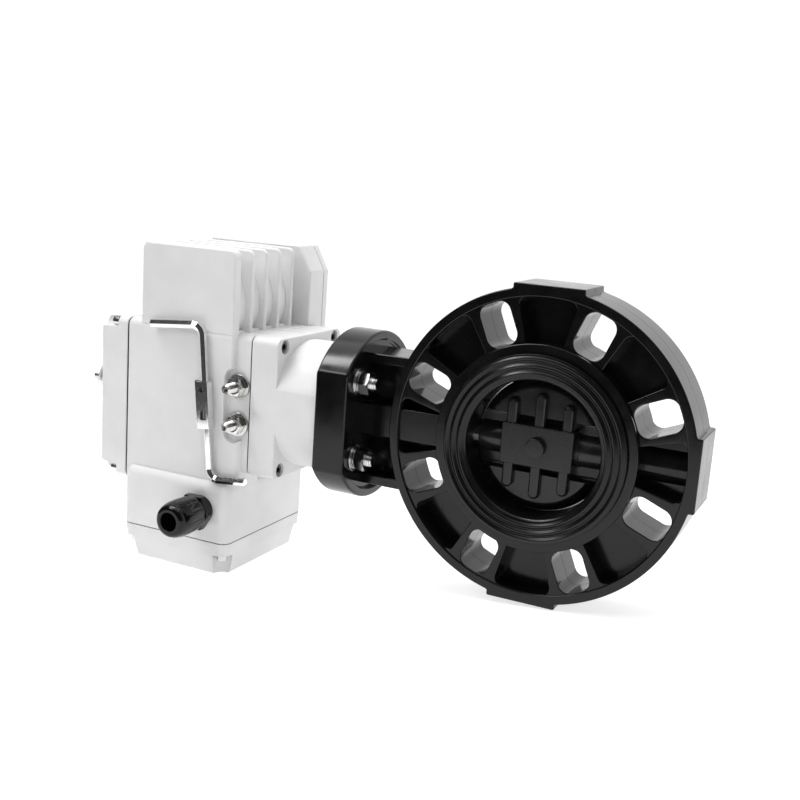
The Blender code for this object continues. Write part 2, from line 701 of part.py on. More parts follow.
def cable_gland(nylon, rubber):
    """Gland body through the box wall, dome nut and the seal inside it."""
    face = GLAND_FACE
    body = solid("gland_body", plate(hexagon(26.7), face - 12, face - 5), "Y", GLAND_AT, nylon)
    join(body, solid("collar", bar(11.8, face - 6, face - GAP, 24), "Y", GLAND_AT))
    join(body, solid("tail", bar(8.0, face - 4, face + 12, 24), "Y", GLAND_AT))
    join(body, solid("neck", bar(9.6, face - 18, face - 4, 24), "Y", GLAND_AT))
    cut(body, solid("hole", bar(6.4, face - 30, face + 20, 24), "Y", GLAND_AT))
    profile = [(9.9, face - 12.5), (14.6, face - 12.5), (15.4, face - 15), (15.4, face - 26), (14.6, face - 33),
               (12.6, face - 39.5), (10.4, face - 41.5), (7.2, face - 41.5), (7.2, face - 33), (9.9, face - 29)]
    nut = solid("gland_nut", turned(profile, 20), "Y", GLAND_AT, nylon)
    seal = ring(5.6, 9.2, face - 28.6, face - 18.6, 20)
    solid("gland_seal", seal, "Y", GLAND_AT, rubber)
    return nut


def placed(piece, at):
    piece.location = Vector(at) * MM
    return piece


def lean(piece):
    """Lean a piece built around the key's upright part."""
    piece.rotation_euler = (0, math.radians(KEY_LEAN), 0)
    return piece


def crank_key(steel):
    """A hexagonal bar bent into a crank, held upright by its clip."""
    path = [(-48, KEY_TOP), (-9, KEY_TOP), (-2.6, KEY_TOP - 2.6), (0, KEY_TOP - 9),
            (0, KEY_FOOT + 9), (2.6, KEY_FOOT + 2.6), (9, KEY_FOOT), (33, KEY_FOOT)]
    bm = bmesh.new()
    rings = []
    for i, (x, z) in enumerate(path):
        back = (Vector(path[i]) - Vector(path[max(i - 1, 0)])).normalized()
        ahead = (Vector(path[min(i + 1, len(path) - 1)]) - Vector(path[i])).normalized()
        along = (back + ahead).normalized()
        across = Vector((-along.y, along.x)) / max(along.dot(back), along.dot(ahead))
        loop = []
        for u, v in turned_by(hexagon(6.0), 30):
            loop.append(bm.verts.new((x + across.x * u, z + across.y * u, v)))
        rings.append(loop)
    for lower, upper in zip(rings, rings[1:]):
        skin(bm, lower, upper)
    bm.faces.new(rings[0])
    bm.faces.new(rings[-1])
    return lean(solid("crank_key", bm, "Y", KEY_AT, steel, smooth=False))


def key_clip(steel):
    """Spring plate whose bent half bridges the key, with two small screws."""
    behind = 4.0 - GAP
    front = -3.9
    clip = block((-11.7, behind - 1.2, -20.5), (-4.2, behind, 16.5))
    join(clip, block((-5.5, front - 1.0, -20.5), (-4.2, behind, 16.5)))
    join(clip, block((-5.4, front - 1.0, -20.5), (5.4, front, 16.5)))
    join(clip, block((4.2, front - 0.9, -20.5), (5.4, 2.0, 16.5)))
    clip.name = "key_clip"
    clip.data.materials.append(steel)
    clip.location = Vector(KEY_AT) * MM
    lean(clip)
    turn = Matrix.Rotation(math.radians(KEY_LEAN), 3, "Y")
    for name, level in (("top", 8.5), ("bottom", -14.5)):
        local = Vector((-8.6, 0, level))
        cut(clip, placed(solid("screw_hole", bar(1.6, -4, 8, 12), "Y"), Vector(KEY_AT) + turn @ local))
        spot = Vector(KEY_AT) + turn @ local
        socket_screw(f"key_clip_screw_{name}", steel, "Y", KEY_AT[1] + behind - 1.2 - GAP, -1, spot,
                     radius=2.4, height=1.6, shank=1.3, length=1.5)
    return clip


def stop_screws(steel):
    """Adjustable end stops: a long screw and its lock nut, one for each end of travel."""
    for name, level in (("open", -1), ("close", 1)):
        at = (STOP_SCREW_X, 0, level * STOP_SCREW_Z)
        seat = -COVER_Y - GAP * 2 - 1.6
        solid(f"stop_screw_{name}", bar(4.0, -68, STOP_TIP, 16), "Y", at, steel)
        nut = plate(hexagon(13.0), seat - GAP - 6.0, seat - GAP, holes=[circle(4.0 + GAP, 12)])
        solid(f"stop_nut_{name}", nut, "Y", at, steel)


# ---- Inside the actuator ------------------------------------------------------------------------

def drive_sleeve(steel):
    """Output shaft: a socket for the stem's square, two stop arms and a thin spindle."""
    sleeve = solid("drive_sleeve", turned([(0, -366), (4.0, -366), (4.0, -323), (SLEEVE_R, -323),
                                           (SLEEVE_R, -164), (0, -164)], 28), "X", material=steel)
    arm = 8.2
    join(sleeve, block((-240, -arm, 5), (-229, arm, 24), axis="X"))
    join(sleeve, block((-240, 5, -arm), (-229, 24, arm - 0.1), axis="X"))
    return cut(sleeve, solid("socket", square_bar(SQUARE / 2 + GAP, -208, -150), "X"))


def worm_wheel(bronze):
    """Wheel whose teeth lean with the worm's lead."""
    lead = MODULE * math.pi
    lean = math.atan(lead / (2 * math.pi * WORM_PITCH_R))
    outline = gear_outline(WHEEL_TEETH, MODULE, 0.8, 1.1, 0.3, 0.85)
    half = 6.0
    bm = bmesh.new()
    twist = math.degrees(half * math.tan(lean) / WHEEL_PITCH_R)
    rings, holes = [], []
    for side in (-1, 1):
        angle = -side * twist
        rings.append([bm.verts.new((u, v, side * half)) for u, v in turned_by(outline, angle)])
        holes.append([bm.verts.new((u, v, side * half)) for u, v in circle(SLEEVE_R + GAP, 36)])
    skin(bm, rings[0], rings[1])
    skin(bm, holes[0], holes[1])
    for outer, inner in zip(rings, holes):
        edges = [bm.edges.get((loop[i], loop[i - 1])) for loop in (outer, inner) for i in range(len(loop))]
        bmesh.ops.triangle_fill(bm, use_beauty=True, edges=edges)
    for vert in bm.verts:
        vert.co.z += WORM_AXIS[0]
    return solid("worm_wheel", bm, "X", (0, 0, 0), bronze, smooth=False)


def worm_shaft(steel):
    """Worm with its shaft, and the spur gear that the motor drives."""
    lead = MODULE * math.pi
    steps, half = 12, 18
    root, tip = WORM_PITCH_R - 1.1 * MODULE, WORM_PITCH_R + 0.8 * MODULE
    bm = bmesh.new()
    rows = []
    for step in range(-half, half + 1):
        angle = math.pi / 2 + 2 * math.pi * step / steps
        middle = lead * step / steps
        fade = min(1.0, (half - abs(step)) / 4)
        top = root - 0.6 + (tip - root + 0.6) * fade
        section = [(root - 0.6, -0.21 * lead), (top, -0.075 * lead), (top, 0.075 * lead), (root - 0.6, 0.21 * lead)]
        rows.append([bm.verts.new((r * math.cos(angle), r * math.sin(angle), middle + w)) for r, w in section])
    for lower, upper in zip(rows, rows[1:]):
        skin(bm, lower, upper)
    bm.faces.new(rows[0])
    bm.faces.new(rows[-1])
    at = (WORM_AXIS[0], 0, WORM_AXIS[1])
    shaft = solid("worm_shaft", bar(5.0, -30, GEAR_Y[0] + 1, 24), "Y", at, steel)
    join(shaft, solid("core", bar(root, -15, 15, 24), "Y", at))
    join(shaft, solid("thread", bm, "Y", at))
    gear = plate(gear_outline(WORM_GEAR_TEETH, GEAR_MODULE), *GEAR_Y)
    join(shaft, solid("gear", gear, "Y", at))
    return shaft


def idler_centre():
    """Where the idler meshes with both the motor's pinion and the worm's gear."""
    motor, worm = Vector(MOTOR_AXIS), Vector(WORM_AXIS)
    to_motor = (ROTOR_TEETH + IDLER_TEETH) * GEAR_MODULE / 2
    to_worm = (WORM_GEAR_TEETH + IDLER_TEETH) * GEAR_MODULE / 2
    span = (worm - motor).length
    along = (to_motor ** 2 - to_worm ** 2 + span ** 2) / (2 * span)
    out = math.sqrt(to_motor ** 2 - along ** 2)
    u = (worm - motor) / span
    return motor + u * along + Vector((u.y, -u.x)) * out


def mesh_turn(gear_at, teeth, other_at, other_teeth, other_turn):
    """Degrees by which a gear is turned so that its gap faces the other gear's tooth."""
    line = math.degrees(math.atan2(other_at[1] - gear_at[1], other_at[0] - gear_at[0]))
    phase = (line + 180 - other_turn) / (360 / other_teeth) % 1
    return line - (0.5 - phase) * 360 / teeth


def idler_gear(steel):
    """Gear between the motor's pinion and the worm's gear."""
    centre = idler_centre()
    turn = mesh_turn(centre, IDLER_TEETH, WORM_AXIS, WORM_GEAR_TEETH, 0)
    outline = turned_by(gear_outline(IDLER_TEETH, GEAR_MODULE), turn)
    at = (centre[0], 0, centre[1])
    solid("idler_gear", plate(outline, *GEAR_Y, holes=[circle(3.1, 16)]), "Y", at, steel)
    return turn


def motor(steel, copper, casting, idler_turn):
    """Stator, rotor with its pinion, and the end bell that holds them and the idler's pin."""
    at = (MOTOR_AXIS[0], 0, MOTOR_AXIS[1])
    rotor = solid("motor_rotor", turned([(0, -44), (4, -44), (4, -34), (21, -34), (21, 16), (4, 16),
                                         (4, GEAR_Y[0] + 1), (0, GEAR_Y[0] + 1)], 24), "Y", at, steel)
    turn = mesh_turn(MOTOR_AXIS, ROTOR_TEETH, idler_centre(), IDLER_TEETH, idler_turn)
    pinion = turned_by(gear_outline(ROTOR_TEETH, GEAR_MODULE), turn)
    join(rotor, solid("pinion", plate(pinion, *GEAR_Y), "Y", at))
    solid("motor_stator", ring(22.5, MOTOR_BORE - GAP, -36, 18, 36), "Y", at, copper)
    bell = ring(4.0 + GAP, MOTOR_BORE - GAP, 27, 33, 36)
    bell = solid("motor_end_bell", bell, "Y", at, casting)
    centre = idler_centre()
    join(bell, solid("idler_pin", bar(3.0, 30, CAP_Y[1] - 1, 16), "Y", (centre[0], 0, centre[1])))


def spindle_parts(polymer, red, clear, steel, black):
    """Cams and switches behind the indicator cover, and the pointer under its window."""
    cam = [(4.3, -357), (12, -357), (12, -353), (8, -353), (8, -350), (10.5, -350), (10.5, -346), (4.3, -346)]
    solid("cam_stack", turned(cam, 20), "X", (0, 0, 0), polymer)
    for name, level in (("open", -1), ("close", 1)):
        low, high = sorted((level * 14, level * 30))
        switch = block((-358, -10, low), (-346, 10, high), 1.5, "X")
        switch.name = f"limit_switch_{name}"
        switch.data.materials.append(black)
    pointer = solid("position_pointer", bar(8.0, -378, -370.5, 20), "X", (0, 0, 0), red)
    join(pointer, block((-376, -2.5, 0), (-372, 2.5, 13), axis="X"))
    cut(pointer, solid("spindle_hole", bar(4.3, -374, -360, 20), "X"))
    low = LEFT_FACE - GAP
    dome = [(30, low), (30, low - 3.5), (26.5, low - 3.5), (26, low - 16), (22, low - 27), (14, low - 34),
            (5, low - 37), (0, low - 37.4), (0, low - 34.9), (5, low - 34.5), (13, low - 31.8),
            (20, low - 25.5), (23.7, low - 15.5), (24.2, low)]
    middle = (LEFT_BOTTOM + BODY_Z[1]) / 2 + 1
    solid("indicator_window", turned(dome, 20), "X", (0, 0, middle), clear)
    cap = turned([(0, low - 37.9), (3.4, low - 37.6), (3.4, low - 46.5), (2.6, low - 48), (0, low - 48)], 20)
    solid("window_screw", cap, "X", (0, 0, middle), steel)


def output_bearing(steel):
    solid("output_bearing", ring(SLEEVE_R + GAP, 26.0, -216, -204, 28), "X", material=steel)


def terminal_block(polymer):
    """A row of screw terminals on the terminal box's ceiling."""
    block_ = block((-318, -12, -98), (-254, 12, -74.6 - GAP), 1.0, "Y")
    block_.name = "terminal_block"
    block_.data.materials.append(polymer)
    for slot in range(7):
        x = -312 + slot * 8.6
        cut(block_, block((x, -8, -100), (x + 5.6, 8, -94)))


def main():
    for old in list(bpy.data.objects):
        bpy.data.objects.remove(old)
    pvc = paint("black_pvc", (0.018, 0.018, 0.019), 0.36)
    rubber = paint("black_rubber", (0.012, 0.012, 0.012), 0.42)
    casting = paint("grey_powder_coat", (0.72, 0.72, 0.72), 0.38)
    steel = paint("stainless_steel", (0.62, 0.61, 0.60), 0.25, 1.0)
    nylon = paint("black_nylon", (0.010, 0.010, 0.011), 0.25)
    bronze = paint("bronze", (0.55, 0.36, 0.16), 0.35, 1.0)
    copper = paint("copper", (0.60, 0.28, 0.15), 0.4, 1.0)
    polymer = paint("white_polymer", (0.75, 0.74, 0.70), 0.45)
    red = paint("red_plastic", (0.55, 0.03, 0.02), 0.4)
    clear = paint("clear_plastic", (0.9, 0.92, 0.93), 0.08, 0.0, 0.35)

    valve_body(pvc)
    seat_liner(rubber)
    disc(pvc)
    stem(steel)
    stem_fittings(polymer, rubber, steel)
    flange_fasteners(steel)
    gear_housing(casting)
    output_cover(casting, steel)
    motor_cover(casting)
    left_cover(casting, steel)
    terminal_cover(casting, steel)
    indicator_gasket(rubber)
    cable_gland(nylon, rubber)
    crank_key(steel)
    key_clip(steel)
    stop_screws(steel)
    drive_sleeve(steel)
    worm_wheel(bronze)
    worm_shaft(steel)
    idler_turn = idler_gear(steel)
    motor(steel, copper, casting, idler_turn)
    spindle_parts(polymer, red, clear, steel, nylon)
    output_bearing(steel)
    terminal_block(polymer)


main()
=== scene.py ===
"""The looks of a motorised butterfly valve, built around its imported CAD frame."""
import json
import math

import bmesh
import bpy
from mathutils import Euler, Matrix, Vector

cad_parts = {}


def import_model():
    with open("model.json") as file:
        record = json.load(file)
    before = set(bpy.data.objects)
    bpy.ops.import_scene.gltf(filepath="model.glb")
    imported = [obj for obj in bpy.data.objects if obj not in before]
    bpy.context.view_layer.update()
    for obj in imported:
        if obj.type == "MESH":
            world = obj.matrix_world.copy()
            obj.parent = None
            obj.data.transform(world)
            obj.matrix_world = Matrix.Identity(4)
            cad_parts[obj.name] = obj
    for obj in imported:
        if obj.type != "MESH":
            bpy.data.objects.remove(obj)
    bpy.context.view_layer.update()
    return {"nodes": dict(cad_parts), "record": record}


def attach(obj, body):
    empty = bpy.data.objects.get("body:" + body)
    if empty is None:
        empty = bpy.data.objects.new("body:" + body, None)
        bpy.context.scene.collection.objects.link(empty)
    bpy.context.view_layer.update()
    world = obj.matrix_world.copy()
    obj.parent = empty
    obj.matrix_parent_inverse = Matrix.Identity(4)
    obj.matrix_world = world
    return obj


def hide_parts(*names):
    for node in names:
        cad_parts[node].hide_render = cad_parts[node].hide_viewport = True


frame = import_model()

MM = 0.001
GAP = 0.3
HOUSING, DRIVE, KEY = "housing", "disc_drive", "key"

# Camera: its place and target in millimetres, its roll in degrees, and its lens in millimetres
CAMERA_AT, CAMERA_TARGET = (235.74, -752.13, 187.0), (-118.2, 0, 13.99)
CAMERA_ROLL, CAMERA_LENS, CAMERA_SENSOR = 3.964, 49.54, 36.0

# Valve body and disc
RIM_R, RIM_INNER_R, RIM_HALF = 115.0, 108.0, 23.0
PAD_R, PAD_HALF = 116.25, 26.3
RIB_HALF, HUB_R, HUB_HALF, WEB_HALF = 21.7, 75.5, 25.5, 5.0
SEAT_R, LINER_FLANGE_R, BORE_R = 60.0, 68.75, 50.0
SLOT_IN, SLOT_OUT, SLOT_HALF, SLOT_CORNER = 76.0, 107.8, 11.8, 8.0
SLOT_COUNT = 8
FLANGE_FAR, FLANGE_NEAR = -162.8, -136.3
FLANGE_R, FLANGE_HALF = 65.5, 54.5
BOLT_PITCH = 29.5
TROUGH_HALF, DISC_RIB_PITCH = 21.0, 21.0
STEM_HOLE_R = 9.3

# Actuator castings
BODY_LEFT, BODY_STEP, SEAM = -338.2, -238.0, -223.7
BODY_SIDE, BODY_TOP, LEFT_BOTTOM = 53.4, 57.0, -76.5
COVER_SIDE, COVER_LOW, COVER_HIGH = 48.4, -55.5, 55.5
APRON_X = -229.5
MOTOR, MOTOR_R, MOTOR_BORE_R = (-278.9, 0, 75.5), 40.2, 36.0
FIN_LEFT, FIN_TOP, FIN_CORNER = -325.7, 119.3, 5.5
FIN_NEAR, FIN_PITCH, FIN_THICK, FIN_RIGHT = -35.6, 19.3, 4.3, -234.2
FIRST_FIN, FIRST_FIN_THICK, FIRST_FIN_RIGHT = -53.4, 9.1, -238.0
TERMINAL_LOW, TERMINAL_HIGH = (-337.0, -59.0), (-234.0, 59.0)
TERMINAL_TOP = -112.8
COVER_LEFT = -369.2

# Small parts
STOP_SCREW_X, STOP_SCREW_Z = -233.5, 15.05
GLAND_AT, GLAND_FACE = (-258.7, 0, -87.0), -59.0
KEY_AT, KEY_LEAN = (-258.3, -57.4, 0), -5.5
KEY_CORNERS = [(-48, 60.7), (0, 60.7), (0, -61.2), (33, -61.2)]
KEY_ACROSS, KEY_BEND = 6.0, 8.5
WINDOW_BASE, WINDOW_R, WINDOW_INNER_R = -369.1, 26.4, 24.0
WINDOW_AT = (0, 0, (LEFT_BOTTOM + BODY_TOP) / 2 + 1)


# ---- Outlines ------------------------------------------------------------------------------

def arc(radius, start, end, steps, centre=(0, 0)):
    """Points along an arc, with its angles in degrees."""
    angles = [math.radians(start + (end - start) * i / steps) for i in range(steps + 1)]
    return [(centre[0] + radius * math.cos(a), centre[1] + radius * math.sin(a)) for a in angles]


def circle(radius, steps=96, centre=(0, 0)):
    return arc(radius, 0, 360, steps, centre)[:-1]


def rounded(corners, radius, steps=6):
    """A polygon's outline with its corners rounded; radius is one number, or one per corner."""
    points = []
    for i, corner in enumerate(corners):
        r = radius[i] if isinstance(radius, (list, tuple)) else radius
        here = Vector(corner)
        if r <= 0:
            points.append(tuple(here))
            continue
        back = (Vector(corners[i - 1]) - here).normalized()
        ahead = (Vector(corners[(i + 1) % len(corners)]) - here).normalized()
        half = back.angle(ahead) / 2
        centre = here + (back + ahead).normalized() * r / math.sin(half)
        first = here + back * r / math.tan(half) - centre
        last = here + ahead * r / math.tan(half) - centre
        turn = first.angle_signed(last)
        for step in range(steps + 1):
            spoke = first.copy()
            spoke.rotate(Matrix.Rotation(-turn * step / steps, 2))
            points.append(tuple(centre + spoke))
    return points


def rectangle(low, high):
    return [(low[0], low[1]), (high[0], low[1]), (high[0], high[1]), (low[0], high[1])]


def turned_by(points, degrees):
    turn = Matrix.Rotation(math.radians(degrees), 2)
    return [tuple(turn @ Vector(p)) for p in points]


def inset(points, distance):
    """The outline moved inwards by a distance, corner by corner."""
    moved = []
    for i, point in enumerate(points):
        here = Vector(point)
        a = (here - Vector(points[i - 1])).normalized()
        b = (Vector(points[(i + 1) % len(points)]) - here).normalized()
        normal = Vector((-a.y - b.y, a.x + b.x)).normalized()
        moved.append(tuple(here + normal * distance / max(0.4, normal.dot((-a.y, a.x)))))
    return moved


def hexagon(across_flats):
    return arc(across_flats / math.sqrt(3), 0, 360, 6)[:-1]


def soft_levels(low, high, radius, steps=4, groove=0.0, at=0.0):
    """Levels (w, inset) of a slab with rounded edges, and a parting groove if one is given."""
    end = []
    for i in range(steps + 1):
        t = math.radians(90 * i / steps)
        end.append((radius * (1 - math.cos(t)), radius * (1 - math.sin(t))))
    levels = [(low + w, step) for w, step in end]
    if groove:
        levels += [(at - groove, 0), (at, groove * 1.2), (at + groove, 0)]
    return levels + [(high - w, step) for w, step in reversed(end)]


# ---- Solids --------------------------------------------------------------------------------

def skin(bm, lower, upper):
    """Faces between two rings of the same length; a ring may be one repeated point."""
    for i in range(len(lower)):
        j = (i + 1) % len(lower)
        corners = []
        for vert in (lower[i], lower[j], upper[j], upper[i]):
            if vert not in corners:
                corners.append(vert)
        if len(corners) > 2:
            bm.faces.new(corners)


def slab(outline, levels, holes=()):
    """A solid through levels of (w, inset), with holes that go through all of them."""
    bm = bmesh.new()
    ends = []
    for points, side in [(outline, 1)] + [(hole, -1) for hole in holes]:
        rings = []
        for w, step in levels:
            ring = inset(points, step * side) if step else points
            rings.append([bm.verts.new((u, v, w)) for u, v in ring])
        for lower, upper in zip(rings, rings[1:]):
            skin(bm, lower, upper)
        ends.append((rings[0], rings[-1]))
    for end in (0, 1):
        rings = [pair[end] for pair in ends]
        if len(rings) == 1:
            bm.faces.new(rings[0])
            continue
        edges = [bm.edges.get((ring[i], ring[i - 1])) for ring in rings for i in range(len(ring))]
        bmesh.ops.triangle_fill(bm, use_beauty=True, edges=edges)
    return bm


def plate(outline, low, high, edge=0.0, holes=(), steps=4, groove=0.0):
    if not edge:
        return slab(outline, [(low, 0), (high, 0)], holes)
    return slab(outline, soft_levels(low, high, edge, steps, groove), holes)


def turned(profile, steps=96):
    """A solid of revolution about w; the profile closes itself, or starts and ends at the axis."""
    bm = bmesh.new()
    rings = []
    for radius, w in profile:
        if radius < 1e-6:
            rings.append([bm.verts.new((0, 0, w))] * steps)
        else:
            rings.append([bm.verts.new((u, v, w)) for u, v in circle(radius, steps)])
    if profile[0][0] > 1e-6:
        rings.append(rings[0])
    for lower, upper in zip(rings, rings[1:]):
        skin(bm, lower, upper)
    return bm


def bar(radius, low, high, steps=64, edge=0.0):
    """A round bar; edge rounds its two ends."""
    if not edge:
        return turned([(0, low), (radius, low), (radius, high), (0, high)], steps)
    near = [(radius - edge * (1 - math.sin(t)), edge * (1 - math.cos(t)))
            for t in (math.radians(a) for a in (0, 22, 45, 68, 90))]
    profile = [(0, low)] + [(r, low + w) for r, w in near]
    profile += [(r, high - w) for r, w in reversed(near)] + [(0, high)]
    return turned(profile, steps)


def tube(inner, outer, low, high, steps=64, edge=0.0):
    if not edge:
        return turned([(inner, low), (outer, low), (outer, high), (inner, high)], steps)
    profile = []
    for r, w, a0 in ((outer - edge, low + edge, -90), (outer - edge, high - edge, 0),
                     (inner + edge, high - edge, 90), (inner + edge, low + edge, 180)):
        profile += arc(edge, a0, a0 + 90, 3, (r, w))
    return turned(profile, steps)


def threaded(radius, low, high, pitch, depth, steps=28, tip=0.8):
    """A bar whose surface has thread-like grooves and chamfered ends."""
    profile = [(0, low), (radius - depth - tip * 0.4, low), (radius - depth * 0.4, low + tip)]
    w = low + tip
    while w + pitch < high - tip:
        profile += [(radius, w + pitch * 0.32), (radius, w + pitch * 0.46)]
        profile.append((radius - depth, w + pitch * 0.9))
        w += pitch
    profile += [(radius - depth * 0.4, high - tip), (radius - depth - tip * 0.4, high), (0, high)]
    return turned(profile, steps)


LAY = {
    "X": Matrix(((0, 0, 1), (1, 0, 0), (0, 1, 0))),
    "Y": Matrix(((1, 0, 0), (0, 0, 1), (0, 1, 0))),
    "Z": Matrix.Identity(3),
}


def solid(name, bm, axis="Z", at=(0, 0, 0)):
    """A bmesh as an object; the vertices hold the place, and the origin stays at zero."""
    bmesh.ops.transform(bm, matrix=LAY[axis].to_4x4(), verts=bm.verts)
    bmesh.ops.translate(bm, vec=Vector(at), verts=bm.verts)
    bmesh.ops.transform(bm, matrix=Matrix.Scale(MM, 4), verts=bm.verts)
    bmesh.ops.recalc_face_normals(bm, faces=bm.faces)
    mesh = bpy.data.meshes.new(name)
    bm.to_mesh(mesh)
    bm.free()
    piece = bpy.data.objects.new(name, mesh)
    bpy.context.collection.objects.link(piece)
    return piece


def block(low, high, corner=0.0, axis="Z", edge=0.0, steps=4):
    u, v, w = {"X": (1, 2, 0), "Y": (0, 2, 1), "Z": (0, 1, 2)}[axis]
    outline = rectangle((low[u], low[v]), (high[u], high[v]))
    if corner:
        outline = rounded(outline, corner)
    return solid("block", plate(outline, low[w], high[w], edge, steps=steps), axis)


def combine(piece, tools, operation):
    """Boolean a piece with each tool in turn, and merge the points that come to lie together."""
    for tool in tools:
        change = piece.modifiers.new(operation.title(), "BOOLEAN")
        change.operation = operation
        change.solver = "EXACT"
        change.object = tool
    graph = bpy.context.evaluated_depsgraph_get()
    mesh = bpy.data.meshes.new_from_object(piece.evaluated_get(graph))
    piece.modifiers.clear()
    old = piece.data
    piece.data = mesh
    bpy.data.meshes.remove(old)
    for tool in tools:
        bpy.data.objects.remove(tool)
    bm = bmesh.new()
    bm.from_mesh(mesh)
    near = 0.004 * MM
    bmesh.ops.remove_doubles(bm, verts=bm.verts, dist=near)
    bmesh.ops.dissolve_degenerate(bm, edges=bm.edges, dist=near)
    bm.to_mesh(mesh)
    bm.free()
    return piece


def join(piece, *tools):
    return combine(piece, tools, "UNION")


def cut(piece, *tools):
    return combine(piece, tools, "DIFFERENCE")


def common(piece, tool):
    return combine(piece, (tool,), "INTERSECT")


def finished(piece, material, body, replaces=(), smooth=38):
    """Shade a piece, give it its material and body, and hide the nodes it stands for."""
    mesh = piece.data
    mesh.shade_smooth()
    mesh.set_sharp_from_angle(angle=math.radians(smooth))
    mesh.materials.clear()
    mesh.materials.append(material)
    weigh = piece.modifiers.new("Normals", "WEIGHTED_NORMAL")
    weigh.keep_sharp = True
    weigh.weight = 60
    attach(piece, body)
    if replaces:
        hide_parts(*replaces)
    return piece


# ---- Materials -----------------------------------------------------------------------------

def new_material(name, slot):
    material = bpy.data.materials.new(name)
    material.use_nodes = True
    material["slot"] = slot
    return material, material.node_tree.nodes, material.node_tree.links


def noise_node(nodes, links, scale, detail=4.0, rough=0.55, stretch=(1, 1, 1)):
    """Noise over the object's own coordinates, at a scale given in features per metre."""
    place = nodes.new("ShaderNodeTexCoord")
    mapping = nodes.new("ShaderNodeMapping")
    mapping.inputs["Scale"].default_value = stretch
    grain = nodes.new("ShaderNodeTexNoise")
    grain.inputs["Scale"].default_value = scale
    grain.inputs["Detail"].default_value = detail
    grain.inputs["Roughness"].default_value = rough
    links.new(place.outputs["Object"], mapping.inputs["Vector"])
    links.new(mapping.outputs["Vector"], grain.inputs["Vector"])
    return grain


def ramp_node(nodes, links, source, low, high, from_low=0.35, from_high=0.65):
    scale = nodes.new("ShaderNodeMapRange")
    scale.inputs["From Min"].default_value = from_low
    scale.inputs["From Max"].default_value = from_high
    scale.inputs["To Min"].default_value = low
    scale.inputs["To Max"].default_value = high
    links.new(source, scale.inputs["Value"])
    return scale.outputs["Result"]


def mix_colour(nodes, links, factor, first, second):
    mix = nodes.new("ShaderNodeMix")
    mix.data_type = "RGBA"
    mix.inputs["A"].default_value = (*first, 1)
    mix.inputs["B"].default_value = (*second, 1)
    links.new(factor, mix.inputs["Factor"])
    return mix.outputs["Result"]


def bump(nodes, links, height, strength, distance, after=None):
    node = nodes.new("ShaderNodeBump")
    node.inputs["Strength"].default_value = strength
    node.inputs["Distance"].default_value = distance
    links.new(height, node.inputs["Height"])
    if after:
        links.new(after, node.inputs["Normal"])
    return node.outputs["Normal"]


def moulded(name, slot, dark, light, rough, grain_mm, bump_mm, specular=0.5, flow=0.0):
    """Moulded plastic or rubber: faint mottling, a fine surface grain and slow ripples."""
    material, nodes, links = new_material(name, slot)
    shader = nodes["Principled BSDF"]
    shader.inputs["Specular IOR Level"].default_value = specular
    cloud = noise_node(nodes, links, 45, 5, 0.6)
    grain = noise_node(nodes, links, 1000 / grain_mm, 3, 0.5)
    links.new(mix_colour(nodes, links, ramp_node(nodes, links, cloud.outputs["Fac"], 0, 1), dark, light),
              shader.inputs["Base Color"])
    links.new(ramp_node(nodes, links, cloud.outputs["Fac"], rough[0], rough[1]), shader.inputs["Roughness"])
    normal = bump(nodes, links, grain.outputs["Fac"], 0.35, bump_mm * MM)
    if flow:
        ripple = noise_node(nodes, links, 60, 2, 0.4)
        normal = bump(nodes, links, ripple.outputs["Fac"], 0.5, flow * MM, normal)
    links.new(normal, shader.inputs["Normal"])
    return material


def coated():
    """Light grey powder coat: orange-peel bump and a little colour and gloss variation."""
    material, nodes, links = new_material("grey_powder_coat", "grey_powder_coat")
    shader = nodes["Principled BSDF"]
    cloud = noise_node(nodes, links, 28, 4, 0.5)
    peel = noise_node(nodes, links, 700, 2, 0.45)
    fine = noise_node(nodes, links, 2600, 2, 0.5)
    links.new(mix_colour(nodes, links, ramp_node(nodes, links, cloud.outputs["Fac"], 0, 1),
                         (0.67, 0.67, 0.675), (0.72, 0.72, 0.72)), shader.inputs["Base Color"])
    links.new(ramp_node(nodes, links, fine.outputs["Fac"], 0.36, 0.50), shader.inputs["Roughness"])
    shader.inputs["Specular IOR Level"].default_value = 0.42
    normal = bump(nodes, links, peel.outputs["Fac"], 0.30, 0.10 * MM)
    links.new(bump(nodes, links, fine.outputs["Fac"], 0.20, 0.03 * MM, normal), shader.inputs["Normal"])
    return material


def metal(name, slot, first, second, rough, stretch=(1, 1, 1), scratch=0.012):
    """Turned or ground metal: fine lines along the stretched axis and small gloss changes."""
    material, nodes, links = new_material(name, slot)
    shader = nodes["Principled BSDF"]
    shader.inputs["Metallic"].default_value = 1.0
    lines = noise_node(nodes, links, 900, 4, 0.6, stretch)
    cloud = noise_node(nodes, links, 120, 3, 0.5)
    links.new(mix_colour(nodes, links, ramp_node(nodes, links, cloud.outputs["Fac"], 0, 1), first, second),
              shader.inputs["Base Color"])
    links.new(ramp_node(nodes, links, lines.outputs["Fac"], rough[0], rough[1]), shader.inputs["Roughness"])
    links.new(bump(nodes, links, lines.outputs["Fac"], 0.25, scratch * MM), shader.inputs["Normal"])
    return material


def clear():
    """Clear moulded plastic with a faint cloud in its colour and gloss."""
    material, nodes, links = new_material("clear_plastic", "clear_plastic")
    shader = nodes["Principled BSDF"]
    shader.inputs["Transmission Weight"].default_value = 1.0
    shader.inputs["IOR"].default_value = 1.49
    cloud = noise_node(nodes, links, 60, 3, 0.5)
    links.new(mix_colour(nodes, links, cloud.outputs["Fac"], (0.93, 0.95, 0.96), (0.97, 0.98, 0.98)),
              shader.inputs["Base Color"])
    links.new(ramp_node(nodes, links, cloud.outputs["Fac"], 0.03, 0.08), shader.inputs["Roughness"])
    return material


